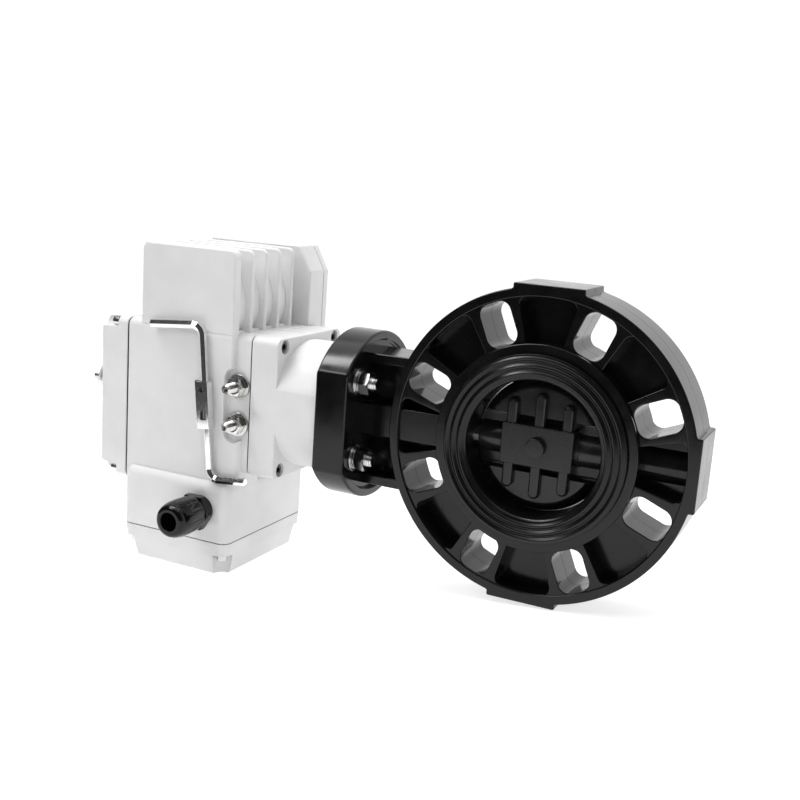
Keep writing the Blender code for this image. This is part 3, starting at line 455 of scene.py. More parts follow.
PVC = moulded("black_pvc", "black_pvc", (0.0030, 0.0030, 0.0032), (0.005, 0.005, 0.0054), (0.13, 0.21),
              0.5, 0.012, 0.32, 0.10)
PVC_DISC = moulded("disc_pvc", "black_pvc", (0.006, 0.006, 0.0064), (0.010, 0.010, 0.0105), (0.20, 0.30),
                   0.45, 0.02, 0.40, 0.08)
RUBBER = moulded("black_rubber", "black_rubber", (0.003, 0.003, 0.003), (0.005, 0.005, 0.005), (0.18, 0.28),
                 0.35, 0.012, 0.3, 0.06)
NYLON = moulded("black_nylon", "black_nylon", (0.002, 0.002, 0.0022), (0.0035, 0.0035, 0.0037), (0.10, 0.18),
                0.6, 0.008, 0.3, 0.04)
POLYMER = moulded("white_polymer", "white_polymer", (0.70, 0.69, 0.65), (0.78, 0.77, 0.73), (0.38, 0.5),
                  0.5, 0.02)
RED = moulded("red_plastic", "red_plastic", (0.48, 0.02, 0.015), (0.60, 0.04, 0.03), (0.3, 0.4), 0.5, 0.02)
COAT = coated()
STEEL = metal("stainless_steel", "stainless_steel", (0.60, 0.59, 0.58), (0.70, 0.69, 0.68), (0.14, 0.26))
CHROME = metal("polished_steel", "stainless_steel", (0.74, 0.74, 0.74), (0.82, 0.82, 0.82), (0.05, 0.12),
               scratch=0.004)
# Painted shade: steel darkened to stand in for the shade inside the output cover's deep counterbores; the
# screws are plain steel
SHADE_PAINTED_STEEL = metal("painted_shade_steel", "stainless_steel", (0.10, 0.10, 0.10), (0.16, 0.16, 0.16), (0.18, 0.3))
BRONZE = metal("bronze", "bronze", (0.50, 0.32, 0.14), (0.60, 0.40, 0.19), (0.25, 0.38))
COPPER = metal("copper", "copper", (0.55, 0.26, 0.13), (0.66, 0.33, 0.18), (0.3, 0.45), (1, 60, 1))
CLEAR = clear()


# ---- Valve body ------------------------------------------------------------------------------

def rim_outline():
    """The rim with pads at three sides; the side towards the actuator stays round."""
    half = math.degrees(math.asin(PAD_HALF / RIM_R))
    root = math.sqrt(RIM_R ** 2 - PAD_HALF ** 2)
    corner = arc(1.3, -90, 0, 3, (PAD_R - 1.3, -PAD_HALF + 1.3))
    pad = [(root - 0.05, -PAD_HALF - 0.9), (root + 0.35, -PAD_HALF - 0.15), (root + 1.1, -PAD_HALF)]
    pad += corner
    pad += [(u, -v) for u, v in reversed(pad)]
    points = []
    for centre in (0, 90, 180, 270):
        if centre == 180:
            points += arc(RIM_R, centre - half, centre + half, 12)[:-1]
        else:
            points += turned_by(pad, centre)
        points += arc(RIM_R, centre + half + 0.8, centre + 90 - half - 0.8, 32)
    return points


def slot_outlines(margin=0.0):
    corners = rectangle((SLOT_IN - margin, -SLOT_HALF - margin), (SLOT_OUT + margin, SLOT_HALF + margin))
    shape = rounded(corners, SLOT_CORNER, 7)
    return [turned_by(shape, (k + 0.5) * 360 / SLOT_COUNT) for k in range(SLOT_COUNT)]


def pocket_outlines():
    """The hollows between the walls round two bolt slots, with rounded outer corners."""
    lean = math.radians(180 / SLOT_COUNT)

    def boss_edge(along):
        half = 16.0 + 4.0 * (along - 77) / 30
        return (along * math.cos(lean) + half * math.sin(lean),
                along * math.sin(lean) - half * math.cos(lean))

    inner, outer = boss_edge(73.2), boss_edge(105.9)
    inner_r, outer_r = math.hypot(*inner), math.hypot(*outer)
    spread_out = math.degrees(math.atan2(outer[1], outer[0])) - 3.6
    corners = [(outer[0], -outer[1])] + arc(outer_r, -spread_out, spread_out, 8)
    corners += [outer, inner, (inner_r, 0), (inner[0], -inner[1])]
    shape = rounded(corners, [5] + [0] * 9 + [5, 0, 0, 0], 8)
    return [turned_by(shape, k * 360 / SLOT_COUNT) for k in range(SLOT_COUNT)]


def flange_outline(margin=0.0):
    """A circle with two flat sides."""
    radius, half = FLANGE_R - margin, FLANGE_HALF - margin
    start = math.degrees(math.acos(half / radius))
    upper = arc(radius, start, 180 - start, 36)
    return upper + [(-u, -v) for u, v in upper]


def body_plates():
    """The ribbed middle, and the web, rim and hub that join it; their planes all differ."""
    middle = plate(circle(RIM_INNER_R + 4, 128), -RIB_HALF, RIB_HALF, 0.7,
                   [circle(SEAT_R + 2, 96)] + slot_outlines() + pocket_outlines(), 3, 0.22)
    rim = slab(rim_outline(), soft_levels(-RIM_HALF, RIM_HALF, 1.0, 4, 0.22), [circle(RIM_INNER_R, 128)])
    hub = plate(circle(HUB_R, 128), -HUB_HALF, HUB_HALF, 0.9, [circle(SEAT_R - 3, 96)])
    web = plate(circle(RIM_INNER_R + 5, 96), -WEB_HALF, WEB_HALF,
                holes=[circle(SEAT_R - 1, 96)] + slot_outlines(3.0))
    shapes = (("body_casting", middle), ("web", web), ("rim", rim), ("hub", hub))
    return [solid(name, bm, "Y") for name, bm in shapes]


def neck_pieces():
    """The neck's tube, collar, block and webs; each ends at its own plane inside the flange."""
    middle_web = [(-147.5, -46), (-104, -46), (-110, -20), (-110, 20), (-104, 46), (-147.5, 46)]
    neck = [
        solid("tube", bar(14.5, -149.1, -58, 96), "X"),
        solid("collar", bar(18.0, -148.3, -133.5, 72), "X"),
        solid("foot", bar(13.0, 58, 110, 80), "X"),
        solid("middle_web", plate(middle_web, -4, 4), "Y"),
        block((-146.7, -20.06, -12), (-62, 20.06, 12), 0.8, "X"),
    ]
    for side in (-1, 1):
        low, high = sorted((side * 43.5, side * 51.0))
        neck.append(block((-145.9, -20, low), (-101, 20, high), 1.0, "X"))
    return neck


def valve_body():
    """Black moulded body: ribbed ring with slots and pads, neck, and the actuator's flange."""
    body, web, rim, hub = body_plates()
    flange = solid("flange", plate(flange_outline(), FLANGE_FAR, FLANGE_NEAR, 2.0, steps=5), "X")
    levels = [(-140, 1.2), (-138.8, 0), (-136.9, 0), (FLANGE_NEAR, -0.6), (-130, -0.6)]
    cut(flange, solid("recess", slab(flange_outline(6.5), levels), "X"))
    for piece in [web, rim, hub] + neck_pieces() + [flange]:
        join(body, piece)
    holes = [
        solid("seat_bore", bar(SEAT_R + GAP, -40, 40, 128), "Y"),
        solid("stem_bore", bar(9.0 + GAP, -180, 88), "X"),
        solid("bush_bore", bar(12.0 + GAP, -152, -104, 72), "X"),
        solid("foot_bore", bar(12.0 + GAP, 50, 92), "X"),
        solid("sleeve_bore", bar(20.0, -180, -142.5), "X"),
    ]
    for side in (-1, 1):
        low, high = sorted((side * RIB_HALF, side * 40))
        holes.append(solid("seat_step", bar(LINER_FLANGE_R + GAP, low, high, 128), "Y"))
        for level in (-1, 1):
            holes.append(solid("stud_hole", bar(5.4, -180, -130, 32), "X",
                               (0, side * BOLT_PITCH, level * BOLT_PITCH)))
    for hole in holes:
        cut(body, hole)
    return finished(body, PVC, HOUSING, ["valve_body"])


def seat_liner():
    """Rubber sleeve with three round beads on each face and a soft inner lip."""
    face = [(SEAT_R, 22.0), (LINER_FLANGE_R - 0.4, 22.0), (LINER_FLANGE_R, 22.4), (LINER_FLANGE_R, 28.6)]
    face += arc(0.7, 0, 60, 3, (LINER_FLANGE_R - 0.7, 28.7))
    steps = 34
    for i in range(1, steps + 1):
        r = 67.9 - (67.9 - 53.0) * i / steps
        face.append((r, 29.75 + 0.75 * math.cos(2 * math.pi * (r - 55.0) / 5.3)))
    r0, y0 = face[-1]
    for i in range(1, 9):
        t = math.radians(90 * i / 8)
        face.append((r0 - (r0 - BORE_R) * math.sin(t), 26.0 + (y0 - 26.0) * math.cos(t)))
    profile = face + [(r, -y) for r, y in reversed(face)]
    liner = solid("liner_moulding", turned(profile, 144), "Y")
    cut(liner, solid("stem_hole", bar(STEM_HOLE_R, -80, 80, 48), "X"))
    return finished(liner, RUBBER, HOUSING, ["seat_liner"], smooth=50)


def disc():
    """Disc with plates, trough, hub block, bosses and ribs, all with soft edges."""
    half = [(0, 12.0), (41.6, 12.0), (42.6, 11.8), (43.4, 11.2), (48.0, 5.8), (49.0, 4.2), (49.55, 2.4),
            (49.7, 1.0)]
    profile = half + [(r, -y) for r, y in reversed(half)]
    body = solid("disc_moulding", turned(profile, 128), "Y")
    for side in (-1, 1):
        low, high = sorted((side * 4.0, side * 20))
        cut(body, block((-60, low, -TROUGH_HALF), (60, high, TROUGH_HALF), 3.0, "X"))
    join(body, solid("hub_block", plate(rounded(rectangle((-27, -15), (27, 15)), 1.2, 3), -18, 18, 0.9), "Y"))
    for side in (-1, 1):
        low, high = sorted((side * 20, side * 47))
        join(body, solid("boss", bar(12.5, low, high, 64, 1.2), "X"))
        low, high = sorted((side * 26, side * 29.5))
        join(body, solid("boss_collar", bar(13.2, low, high, 64, 0.8), "X"))
        for column in (-1, 0, 1):
            length = 39.0 if column == 0 else 33.3
            low, high = sorted((side * 10, side * length))
            x = column * DISC_RIB_PITCH
            join(body, block((x - 4.1, -16.6, low), (x + 4.1, 16.6, high), 3.7, "Y", 2.4, 5))
    join(body, solid("button", bar(7.0, -22.5, -15, 48, 0.7), "Y"))
    cut(body, solid("stem_hole", bar(STEM_HOLE_R, -80, 80), "X"))
    return finished(body, PVC_DISC, DRIVE, ["disc"])


# ---- Fasteners -------------------------------------------------------------------------------

def hex_nut(name, across, bore, low, high, axis, at, steps=32):
    """A nut with both faces chamfered at its corners and a countersunk bore."""
    nut = solid(name, plate(hexagon(across), low, high), axis, at)
    reach = across / math.sqrt(3)
    flat, drop = across / 2 * 0.97, (reach - across / 2) * 0.62
    cone = turned([(0, low), (flat, low), (reach + 0.2, low + drop), (reach + 0.2, high - drop), (flat, high),
                   (0, high)], 48)
    common(nut, solid("chamfer", cone, axis, at))
    hole = turned([(0, low - 1), (bore + 0.9, low - 0.05), (bore, low + 0.85), (bore, high - 0.85),
                   (bore + 0.9, high + 0.05), (0, high + 1)], steps)
    cut(nut, solid("bore", hole, axis, at))
    return nut


def flange_fasteners():
    """Four studs, each with a nut, a plain washer and a split spring washer."""
    number = 0
    for side in (-1, 1):
        for level in (-1, 1):
            number += 1
            at = (0, side * BOLT_PITCH, level * BOLT_PITCH)
            stud = solid(f"threaded_stud_{number}", threaded(4.95, -186, -123.5, 1.5, 0.55), "X", at)
            finished(stud, STEEL, HOUSING, [f"flange_stud_{number}"], smooth=25)
            nut = hex_nut(f"stud_nut_{number}", 16.0, 5.25, -136, -128, "X", at)
            finished(nut, STEEL, HOUSING, [f"flange_nut_{number}"], smooth=25)
            washer = solid(f"stud_washer_{number}", tube(5.3, 10.4, -139.9, -138.3, 48, 0.25), "X", at)
            finished(washer, STEEL, HOUSING)
            ring = tube(5.3, 8.6, -138.2, -136.15, 48, 0.3)
            spring = solid(f"stud_spring_washer_{number}", ring, "X", at)
            cut(spring, block((-140, at[1] - 0.5, at[2] + 2), (-134, at[1] + 0.5, at[2] + 12)))
            finished(spring, STEEL, HOUSING)


def cap_screw(name, node, axis, seat, direction, at, radius, height, shank=2.5, length=12, material=None):
    """Socket cap screw: smooth head with a rounded edge, a hexagon socket and a plain shank."""
    c = radius * 0.14
    profile = [(0, -length), (shank - 0.4, -length), (shank, -length + 0.4), (shank, 0), (radius - 0.15, 0),
               (radius, 0.15), (radius, height - c), (radius - c * 0.35, height - c * 0.3),
               (radius - c, height), (0, height)]
    piece = solid(name, turned(profile, 40))
    cut(piece, solid("socket", plate(hexagon(radius * 0.98), height - 2.8, height + 1)))
    place = list(at)
    place["XYZ".index(axis)] = seat
    turn = {"X": (0, math.pi / 2, 0), "Y": (-math.pi / 2, 0, 0), "Z": (0, 0, 0)}[axis]
    if direction < 0:
        turn = {"X": (0, -math.pi / 2, 0), "Y": (math.pi / 2, 0, 0), "Z": (math.pi, 0, 0)}[axis]
    matrix = Matrix.Translation(Vector(place) * MM) @ Euler(turn).to_matrix().to_4x4()
    piece.data.transform(matrix)
    return finished(piece, material or STEEL, HOUSING, [node] if node else ())


# ---- Actuator castings --------------------------------------------------------------------------

def box2(y, z0, z1, margin=0.0, corner=6.0):
    """A rounded rectangle across the stem, from -y to y and from z0 to z1."""
    return rounded(inset(rectangle((-y, z0), (y, z1)), margin), corner, 8)


def octagon(x0, x1, z0, z1, du, dv):
    return [(x0 + du, z0), (x1 - du, z0), (x1, z0 + dv), (x1, z1 - dv),
            (x1 - du, z1), (x0 + du, z1), (x0, z1 - dv), (x0, z0 + dv)]


def cap_outline(margin=0.0):
    """The motor cover's outline: a rectangle with its corners cut off."""
    return rounded(inset(octagon(-334.0, -223.8, 5.0, 121.0, 11.5, 20.5), margin), 3.0, 5)


def floor_outline(margin=0.0):
    """The terminal box's outline, seen from below."""
    return rounded(inset(rectangle(TERMINAL_LOW, TERMINAL_HIGH), margin), 8.0, 8)


def cover_outline(margin=0.0):
    """The output cover's outline, shared by the housing's strip behind it."""
    return box2(COVER_SIDE, COVER_LOW, COVER_HIGH, margin)


def housing_fins():
    """Five upright fins with rounded edges; the first one is thick and ends further left."""
    pieces = []
    rows = [(FIRST_FIN, FIRST_FIN_THICK, FIRST_FIN_RIGHT)]
    rows += [(FIN_NEAR + FIN_PITCH * i, FIN_THICK, FIN_RIGHT) for i in range(4)]
    level = FIN_TOP - FIN_CORNER
    for near, thick, right in rows:
        shape = [(FIN_LEFT, 54.0), (right, 54.0)]
        shape += arc(FIN_CORNER, 0, 90, 8, (right - FIN_CORNER, level))
        shape += arc(FIN_CORNER, 90, 180, 8, (FIN_LEFT + FIN_CORNER, level))
        pieces.append(solid("fin", slab(shape, soft_levels(near, near + thick, 1.6, 5)), "Y"))
    return pieces


def housing_body():
    """The housing's outside: case, strip, left edge, apron, terminal box, motor barrel and fins."""
    levels = [(BODY_LEFT, 0.6), (BODY_LEFT + 0.6, 0)] + soft_levels(BODY_STEP - 3, BODY_STEP, 1.4, 4)[5:]
    body = solid("housing_casting", slab(box2(BODY_SIDE, -68, BODY_TOP), levels), "X")
    strip = slab(cover_outline(), [(BODY_STEP - 12, 0), (SEAM - GAP - 0.5, 0), (SEAM - GAP, 0.5)])
    join(body, solid("strip", strip, "X"))
    side = BODY_SIDE - 0.04
    join(body, block((BODY_LEFT + 0.02, -side, LEFT_BOTTOM), (-331.0, side, -50), 6, "X", 0.6))
    join(body, block((BODY_STEP - 12, -side, -67.9), (APRON_X, -20, -24), 5, "Z"))
    ledge = [(-112.5, 0.5), (-112.0, 0)]
    for i in range(7):
        t = math.radians(90 * i / 6)
        ledge.append((-72.0 + 8.0 * math.sin(t), 5.9 * (1 - math.cos(t))))
    join(body, solid("terminal_box", slab(floor_outline(), ledge), "Z"))
    levels = [(35, 1.8), (35.5, 0.8), (36.3, 0.2), (37.2, 0), (56.5, 0), (57.0, 0.5)]
    join(body, solid("motor_flange", slab(cap_outline(), levels), "Y"))
    join(body, solid("barrel", bar(MOTOR_R, -50, 36, 112), "Y", MOTOR))
    for fin in housing_fins():
        join(body, fin)
    return body


def gear_housing():
    """Grey casting with its cavities, shaft holes and the recess round the stop screws."""
    body = housing_body()
    cut(body, solid("case_cavity", plate(box2(33, -59.5, 52.5, 0, 5), BODY_LEFT - 5, BODY_STEP - 16), "X"))
    cut(body, block((BODY_LEFT - 5, -48.6, -59.5), (BODY_STEP - 16, -20, 40), 4, "X"))
    cut(body, solid("output_cavity", plate(box2(43.5, -51, 51, 0, 5), BODY_STEP - 20, SEAM + 5), "X"))
    cut(body, block((-333, 31, -59.5), (-243, 48.6, 1), 4, "X"))
    cut(body, solid("terminal_cavity", plate(floor_outline(4.5), -118, -74), "Z"))
    cut(body, solid("chamber", plate(cap_outline(4.5), 37.5, 62), "Y"))
    cut(body, solid("motor_bore", bar(MOTOR_BORE_R, -46, 60, 96), "Y", MOTOR))
    cut(body, solid("worm_hole", bar(5.4, 20, 60), "Y", (-310.6, 0, 30)))
    cut(body, solid("cable_hole", bar(8.4, -70, -40), "Y", GLAND_AT))
    cut(body, solid("wire_hole", bar(10, -80, -55), "Z", (-290, 20, 0)))
    recess = rounded(rectangle((-244.2, -29.6), (-226.6, 29.0)), 8.6, 12)
    levels = [(-60, -0.5), (-BODY_SIDE, -0.5), (-52.7, 0), (-48.5, 0), (-48.0, 0.5)]
    cut(body, solid("recess", slab(recess, levels), "Y"))
    for level in (-1, 1):
        at = (STOP_SCREW_X, 0, level * STOP_SCREW_Z)
        cut(body, solid("stop_seat", bar(10.7, -60, -47.7, 64), "Y", at))
        cut(body, solid("stop_hole", bar(4.3, -70, -30, 48), "Y", at))
    return finished(body, COAT, HOUSING, ["gear_housing"])


def output_cover():
    """Plate with a round boss whose sides are flattened, and four deep screw seats."""
    levels = [(SEAM + GAP, 0.5), (SEAM + GAP + 0.5, 0)] + soft_levels(-206, -200, 1.1, 5)[6:]
    cover = solid("output_casting", slab(cover_outline(), levels), "X")
    boss = solid("boss", bar(51.1, -205, -163.1, 144), "X")
    cut(boss, block((-230, COVER_SIDE, -60), (-150, 70, 60)),
        block((-230, -70, -60), (-150, -COVER_SIDE, 60)))
    join(cover, boss)
    cut(cover, solid("bearing_bore", bar(26.3, -230, -203), "X"))
    cut(cover, solid("sleeve_bore", bar(13.3, -230, -150), "X"))
    number = 0
    for side in (-1, 1):
        for level in (-1, 1):
            number += 1
            at = (0, side * 38.0, level * 48.8)
            cut(cover, solid("counterbore", bar(5.6, -206, -190, 48), "X", at))
            cut(cover, solid("screw_hole", bar(2.9, -230, -200, 32), "X", at))
            # These screws take the darkened steel, which paints the shade of their deep counterbores onto the
            # heads
            cap_screw(f"output_screw_{number}", f"output_cover_screw_{number}", "X", -205.7, 1, at,
                      4.7, 4.2, material=SHADE_PAINTED_STEEL)
            at = (0, side * BOLT_PITCH, level * BOLT_PITCH)
            cut(cover, solid("stud_hole", bar(5.3, -186.5, -150, 32), "X", at))
    return finished(cover, COAT, HOUSING, ["output_cover"])


def motor_cover():
    """Flat cover with rounded edges and four sunk screws."""
    levels = [(57.3, 0.5), (57.8, 0), (63.2, 0), (64.3, 0.3), (65.0, 0.9), (65.5, 1.9)]
    cover = solid("motor_cap", slab(cap_outline(), levels), "Y")
    number = 0
    for x in (-324.5, -233.3):
        for z in (30.0, 96.0):
            number += 1
            at = (x, 0, z)
            cut(cover, solid("counterbore", bar(4.6, 60.7, 70, 48), "Y", at))
            cut(cover, solid("screw_hole", bar(2.3, 50, 70, 32), "Y", at))
            cap_screw(f"motor_screw_{number}", None, "Y", 61.0, 1, at, 4.1, 4.0, 2.0, 3.0)
    return finished(cover, COAT, HOUSING, ["motor_cover"])


def indicator_cover():
    """Flange and raised part with softly rounded edges and a groove for each corner screw."""
    left, far = -349.7, BODY_LEFT - 0.8 - 0.6
    levels = [(left, 1.2), (left + 0.5, 0.4), (left + 1.4, 0), (far - 0.5, 0), (far, 0.5)]
    outline = rounded(rectangle((-BODY_SIDE, LEFT_BOTTOM), (BODY_SIDE, BODY_TOP)), 6, 8)
    cover = solid("indicator_casting", slab(outline, levels), "X")
    y, z0, z1, soft = BODY_SIDE - 1.0, LEFT_BOTTOM + 1.0, BODY_TOP - 1.0, 5.2
    corners = rectangle((-y, z0), (y, z1))
    levels = []
    for i in range(8):
        t = math.radians(90 - 90 * i / 7)
        levels.append((COVER_LEFT + soft * (1 - math.sin(t)), 1.2 + soft * (1 - math.cos(t))))
    join(cover, solid("raised", slab(rounded(corners, 7.6, 8), levels + [(-348.0, 0)]), "X"))
    cut(cover, solid("hollow", plate(rounded(inset(corners, 8.5), 14, 6), -364.3, BODY_LEFT + 5), "X"))
    cut(cover, solid("spindle_hole", bar(4.4, -380, -350), "X"))
    number = 0
    for side in (-1, 1):
        for level in (z0 + 4, z1 - 4):
            number += 1
            at = (0, side * (y - 5.2), level)
            cut(cover, solid("groove", bar(6.2, -380, left, 64), "X", at))
            cut(cover, solid("screw_hole", bar(2.8, -360, -330, 32), "X", at))
            cap_screw(f"indicator_screw_{number}", f"indicator_cover_screw_{number}", "X", left - GAP, -1, at,
                      4.35, 6.5, length=9.5)
    return finished(cover, COAT, HOUSING, ["indicator_cover"])


def terminal_cover():
    """Shallow tray under the terminal box, with a groove at each corner for its screw."""
    top = TERMINAL_TOP
    levels = [(-140.5, 6.4), (-140.2, 5.2), (-139.4, 4.4), (-138.0, 3.9), (top - 12, 1.3), (top - 0.5, 0.2),
              (top, 0.7)]
    cover = solid("terminal_casting", slab(floor_outline(), levels), "Z")
    hollow = rounded(inset(rectangle(TERMINAL_LOW, TERMINAL_HIGH), 9), 18, 8)
    cut(cover, solid("hollow", plate(hollow, -136, top + 5), "Z"))
    number = 0
    for x, out in ((-328.5, -1), (-242.5, 1)):
        for side in (-1, 1):
            number += 1
            at = (x, side * 50.5, 0)
            cut(cover, solid("groove", bar(8.0, -146, -123.5, 64), "Z", (x + out * 2.5, side * 53.0, 0)))
            cut(cover, solid("screw_hole", bar(2.8, -130, -110, 32), "Z", at))
            cap_screw(f"terminal_screw_{number}", f"terminal_cover_screw_{number}", "Z", -123.8, -1, at,
                      4.15, 5.0, length=10)
    return finished(cover, COAT, HOUSING, ["terminal_cover"])


def seam_cords():
    """Thin dark seals that show as lines in the castings' seams."""
    rings = (("terminal_seam_seal", "Z", floor_outline, -112.78, -112.52),
             ("motor_seam_seal", "Y", cap_outline, 57.02, 57.28),
             ("output_seam_seal", "X", cover_outline, SEAM - 0.28, SEAM + 0.28))
    for name, axis, outline, low, high in rings:
        cord = solid(name, plate(outline(0.3), low, high, holes=[outline(3.5)]), axis)
        finished(cord, RUBBER, HOUSING)


# ---- Cable gland, crank key, stop screws, window --------------------------------------------------

def ribbed(profile, face, ribs=12, steps=144):
    """A round nut body from rings of (radius, distance from the face, depth of the ribs)."""
    bm = bmesh.new()
    rings = []
    for radius, w, depth in profile:
        ring = []
        for i in range(steps):
            a = 2 * math.pi * i / steps
            r = radius - depth * max(0.0, math.cos(a * ribs)) ** 3
            ring.append(bm.verts.new((r * math.cos(a), r * math.sin(a), face + w)))
        rings.append(ring)
    for lower, upper in zip(rings, rings[1:]):
        skin(bm, lower, upper)
    bm.faces.new(rings[0])
    bm.faces.new(rings[-1])
    return bm


def cable_gland():
    """Gland body with a hexagon, a ribbed dome nut and a rubber ring; its opening is free."""
    at, face = GLAND_AT, GLAND_FACE
    body = solid("gland_entry", plate(hexagon(26.7), face - 12, face - 5), "Y", at)
    cone = turned([(0, face - 12), (12.9, face - 12), (15.8, face - 10.4), (15.8, face - 6.2),
                   (14.2, face - 5), (0, face - 5)], 64)
    common(body, solid("chamfer", cone, "Y", at))
    join(body, solid("collar", bar(11.8, face - 6, face - GAP, 64), "Y", at))
    join(body, solid("tail", bar(8.0, face - 4, face + 12, 48), "Y", at))
    join(body, solid("neck", bar(9.6, face - 18, face - 4, 48), "Y", at))
    cut(body, solid("hole", bar(6.4, face - 30, face + 20, 48), "Y", at))
    finished(body, NYLON, HOUSING, ["gland_body"])
    profile = [(9.2, -41.5, 0), (10.4, -41.3, 0), (11.6, -40.6, 0), (12.6, -39.4, 0), (13.5, -37.0, 0),
               (14.2, -34.0, 0), (14.5, -31.0, 0.2), (14.7, -28.0, 0.6), (14.6, -24.0, 0.6),
               (14.2, -15.5, 0.6), (13.9, -13.2, 0.3), (13.4, -12.5, 0)]
    nut = solid("gland_dome", ribbed(profile, face), "Y", at)
    inside = [(0, face - 45), (7.9, face - 45), (7.9, face - 42.0), (7.2, face - 41.0), (7.2, face - 33),
              (9.9, face - 29), (9.9, face - 5), (0, face - 5)]
    cut(nut, solid("inside", turned(inside, 64), "Y", at))
    finished(nut, NYLON, HOUSING, ["gland_nut"])
    seal = [(5.6, face - 28.4), (9.2, face - 28.4), (9.2, face - 18.6), (5.6, face - 18.6)]
    finished(solid("gland_grommet", turned(seal, 48), "Y", at), RUBBER, HOUSING, ["gland_seal"])


def lean(piece):
    """Put a piece built around the key's upright part in its leaning place."""
    turn = Matrix.Rotation(math.radians(KEY_LEAN), 4, "Y")
    piece.data.transform(Matrix.Translation(Vector(KEY_AT) * MM) @ turn)
    return piece


def crank_key():
    """Hexagonal bar bent into a crank, with smooth bends and chamfered ends."""
    path = [Vector(KEY_CORNERS[0])]
    for i in (1, 2):
        here = Vector(KEY_CORNERS[i])
        back = (Vector(KEY_CORNERS[i - 1]) - here).normalized()
        ahead = (Vector(KEY_CORNERS[i + 1]) - here).normalized()
        centre = here + (back + ahead) * KEY_BEND
        for step in range(11):
            t = math.radians(90 * step / 10)
            path.append(centre - ahead * KEY_BEND * math.cos(t) - back * KEY_BEND * math.sin(t))
    path.append(Vector(KEY_CORNERS[-1]))
    bm = bmesh.new()
    rings = []
    section = rounded(turned_by(hexagon(KEY_ACROSS), 30), 0.45, 3)
    for i, point in enumerate(path):
        back = path[i] - path[i - 1] if i else path[1] - path[0]
        ahead = path[i + 1] - path[i] if i + 1 < len(path) else back
        along = (back.normalized() + ahead.normalized()).normalized()
        across = Vector((-along.y, along.x))
        rings.append([bm.verts.new((point.x + across.x * u, point.y + across.y * u, v)) for u, v in section])
    for lower, upper in zip(rings, rings[1:]):
        skin(bm, lower, upper)
    for end, other in ((0, 1), (-1, -2)):
        out = (path[end] - path[other]).normalized()
        middle = Vector((path[end].x, path[end].y, 0))
        push = Vector((out.x, out.y, 0)) * 0.6
        tip = [bm.verts.new(middle + (vert.co - middle) * 0.8 + push) for vert in rings[end]]
        skin(bm, rings[end], tip)
        bm.faces.new(tip)
    piece = lean(solid("crank_bar", bm, "Y"))
    return finished(piece, CHROME, KEY, ["crank_key"], smooth=28)


def key_clip():
    """Bent spring-steel plate with two windows over the key, held by two small screws."""
    back, front = 3.7, -3.9
    clip = block((-11.7, back - 1.2, -20.5), (-4.2, back, 16.5), 1.2, "Y", 0.25, 2)
    join(clip, block((-5.5, front - 1.0, -20.45), (-4.2, back - 0.1, 16.45)))
    join(clip, block((-5.4, front - 1.0, -20.5), (5.4, front, 16.5), 0.8, "Y", 0.2, 2))
    join(clip, block((4.2, front - 0.9, -20.45), (5.35, 2.0, 16.45)))
    cut(clip, block((-2.6, -8, 8.5), (3.0, -2, 13.0), 0.9, "Y"))
    cut(clip, block((-2.6, -8, -13.5), (3.0, -2, -6.0), 0.9, "Y"))
    for name, level in (("top", 8.5), ("bottom", -14.5)):
        cut(clip, solid("screw_hole", bar(1.6, -4, 8, 32), "Y", (-8.6, 0, level)))
        profile = [(0, -1.5), (1.2, -1.5), (1.2, 0), (2.3, 0), (2.4, 0.5), (2.1, 1.1), (1.4, 1.5), (0, 1.6)]
        screw = solid(f"clip_screw_{name}", turned(profile, 32))
        cut(screw, block((-0.35, -4, 0.9), (0.35, 4, 3)))
        place = Vector((-8.6, back - 1.2 - GAP, level)) * MM
        screw.data.transform(Matrix.Translation(place) @ Euler((math.pi / 2, 0, 0)).to_matrix().to_4x4())
        finished(lean(screw), STEEL, HOUSING, [f"key_clip_screw_{name}"])
    clip.name = "spring_clip"
    return finished(lean(clip), CHROME, HOUSING, ["key_clip"])


def stop_screws():
    """Travel stops: a threaded screw with a socket, its lock nut and a washer, twice."""
    for name, level in (("open", -1), ("close", 1)):
        at = (STOP_SCREW_X, 0, level * STOP_SCREW_Z)
        screw = solid(f"adjuster_{name}", threaded(3.95, -68, -8.5, 1.25, 0.5, 32, 1.0), "Y", at)
        cut(screw, solid("socket", plate(hexagon(4.0), -70, -64.5), "Y", at))
        finished(screw, STEEL, HOUSING, [f"stop_screw_{name}"], smooth=25)
        nut = hex_nut(f"lock_nut_{name}", 13.0, 4.25, -56.9, -50.9, "Y", at)
        finished(nut, STEEL, HOUSING, [f"stop_nut_{name}"], smooth=25)
        washer = solid(f"lock_washer_{name}", tube(4.3, 9.6, -50.6, -48.3, 64, 0.3), "Y", at)
        finished(washer, STEEL, HOUSING)


def window():
    """Clear dome with a flange over the position pointer, and the small screw at its tip."""
    low = WINDOW_BASE
    outer = [(30, low), (30, low - 3.0), (29.5, low - 3.5), (27.0, low - 3.6), (26.5, low - 4.2)]
    for i in range(1, 17):
        t = math.radians(90 * i / 16)
        outer.append((WINDOW_R * math.cos(t), low - 12 - (WINDOW_R - 1.0) * math.sin(t)))
    inner = []
    for i in range(17):
        t = math.radians(90 * (16 - i) / 16)
        inner.append((WINDOW_INNER_R * math.cos(t), low - 12 - (WINDOW_INNER_R - 1.1) * math.sin(t)))
    outer[-1] = (0, outer[-1][1])
    inner[0] = (0, inner[0][1])
    profile = outer + inner + [(24.2, low)]
    dome = solid("window_dome", turned(profile, 96), "X", WINDOW_AT)
    finished(dome, CLEAR, HOUSING, ["indicator_window"], smooth=50)
    cap = threaded(3.4, low - 48, low - 37.8, 1.0, 0.35, 32, 0.6)
    finished(solid("dome_screw", cap, "X", WINDOW_AT), STEEL, HOUSING, ["window_screw"], smooth=25)


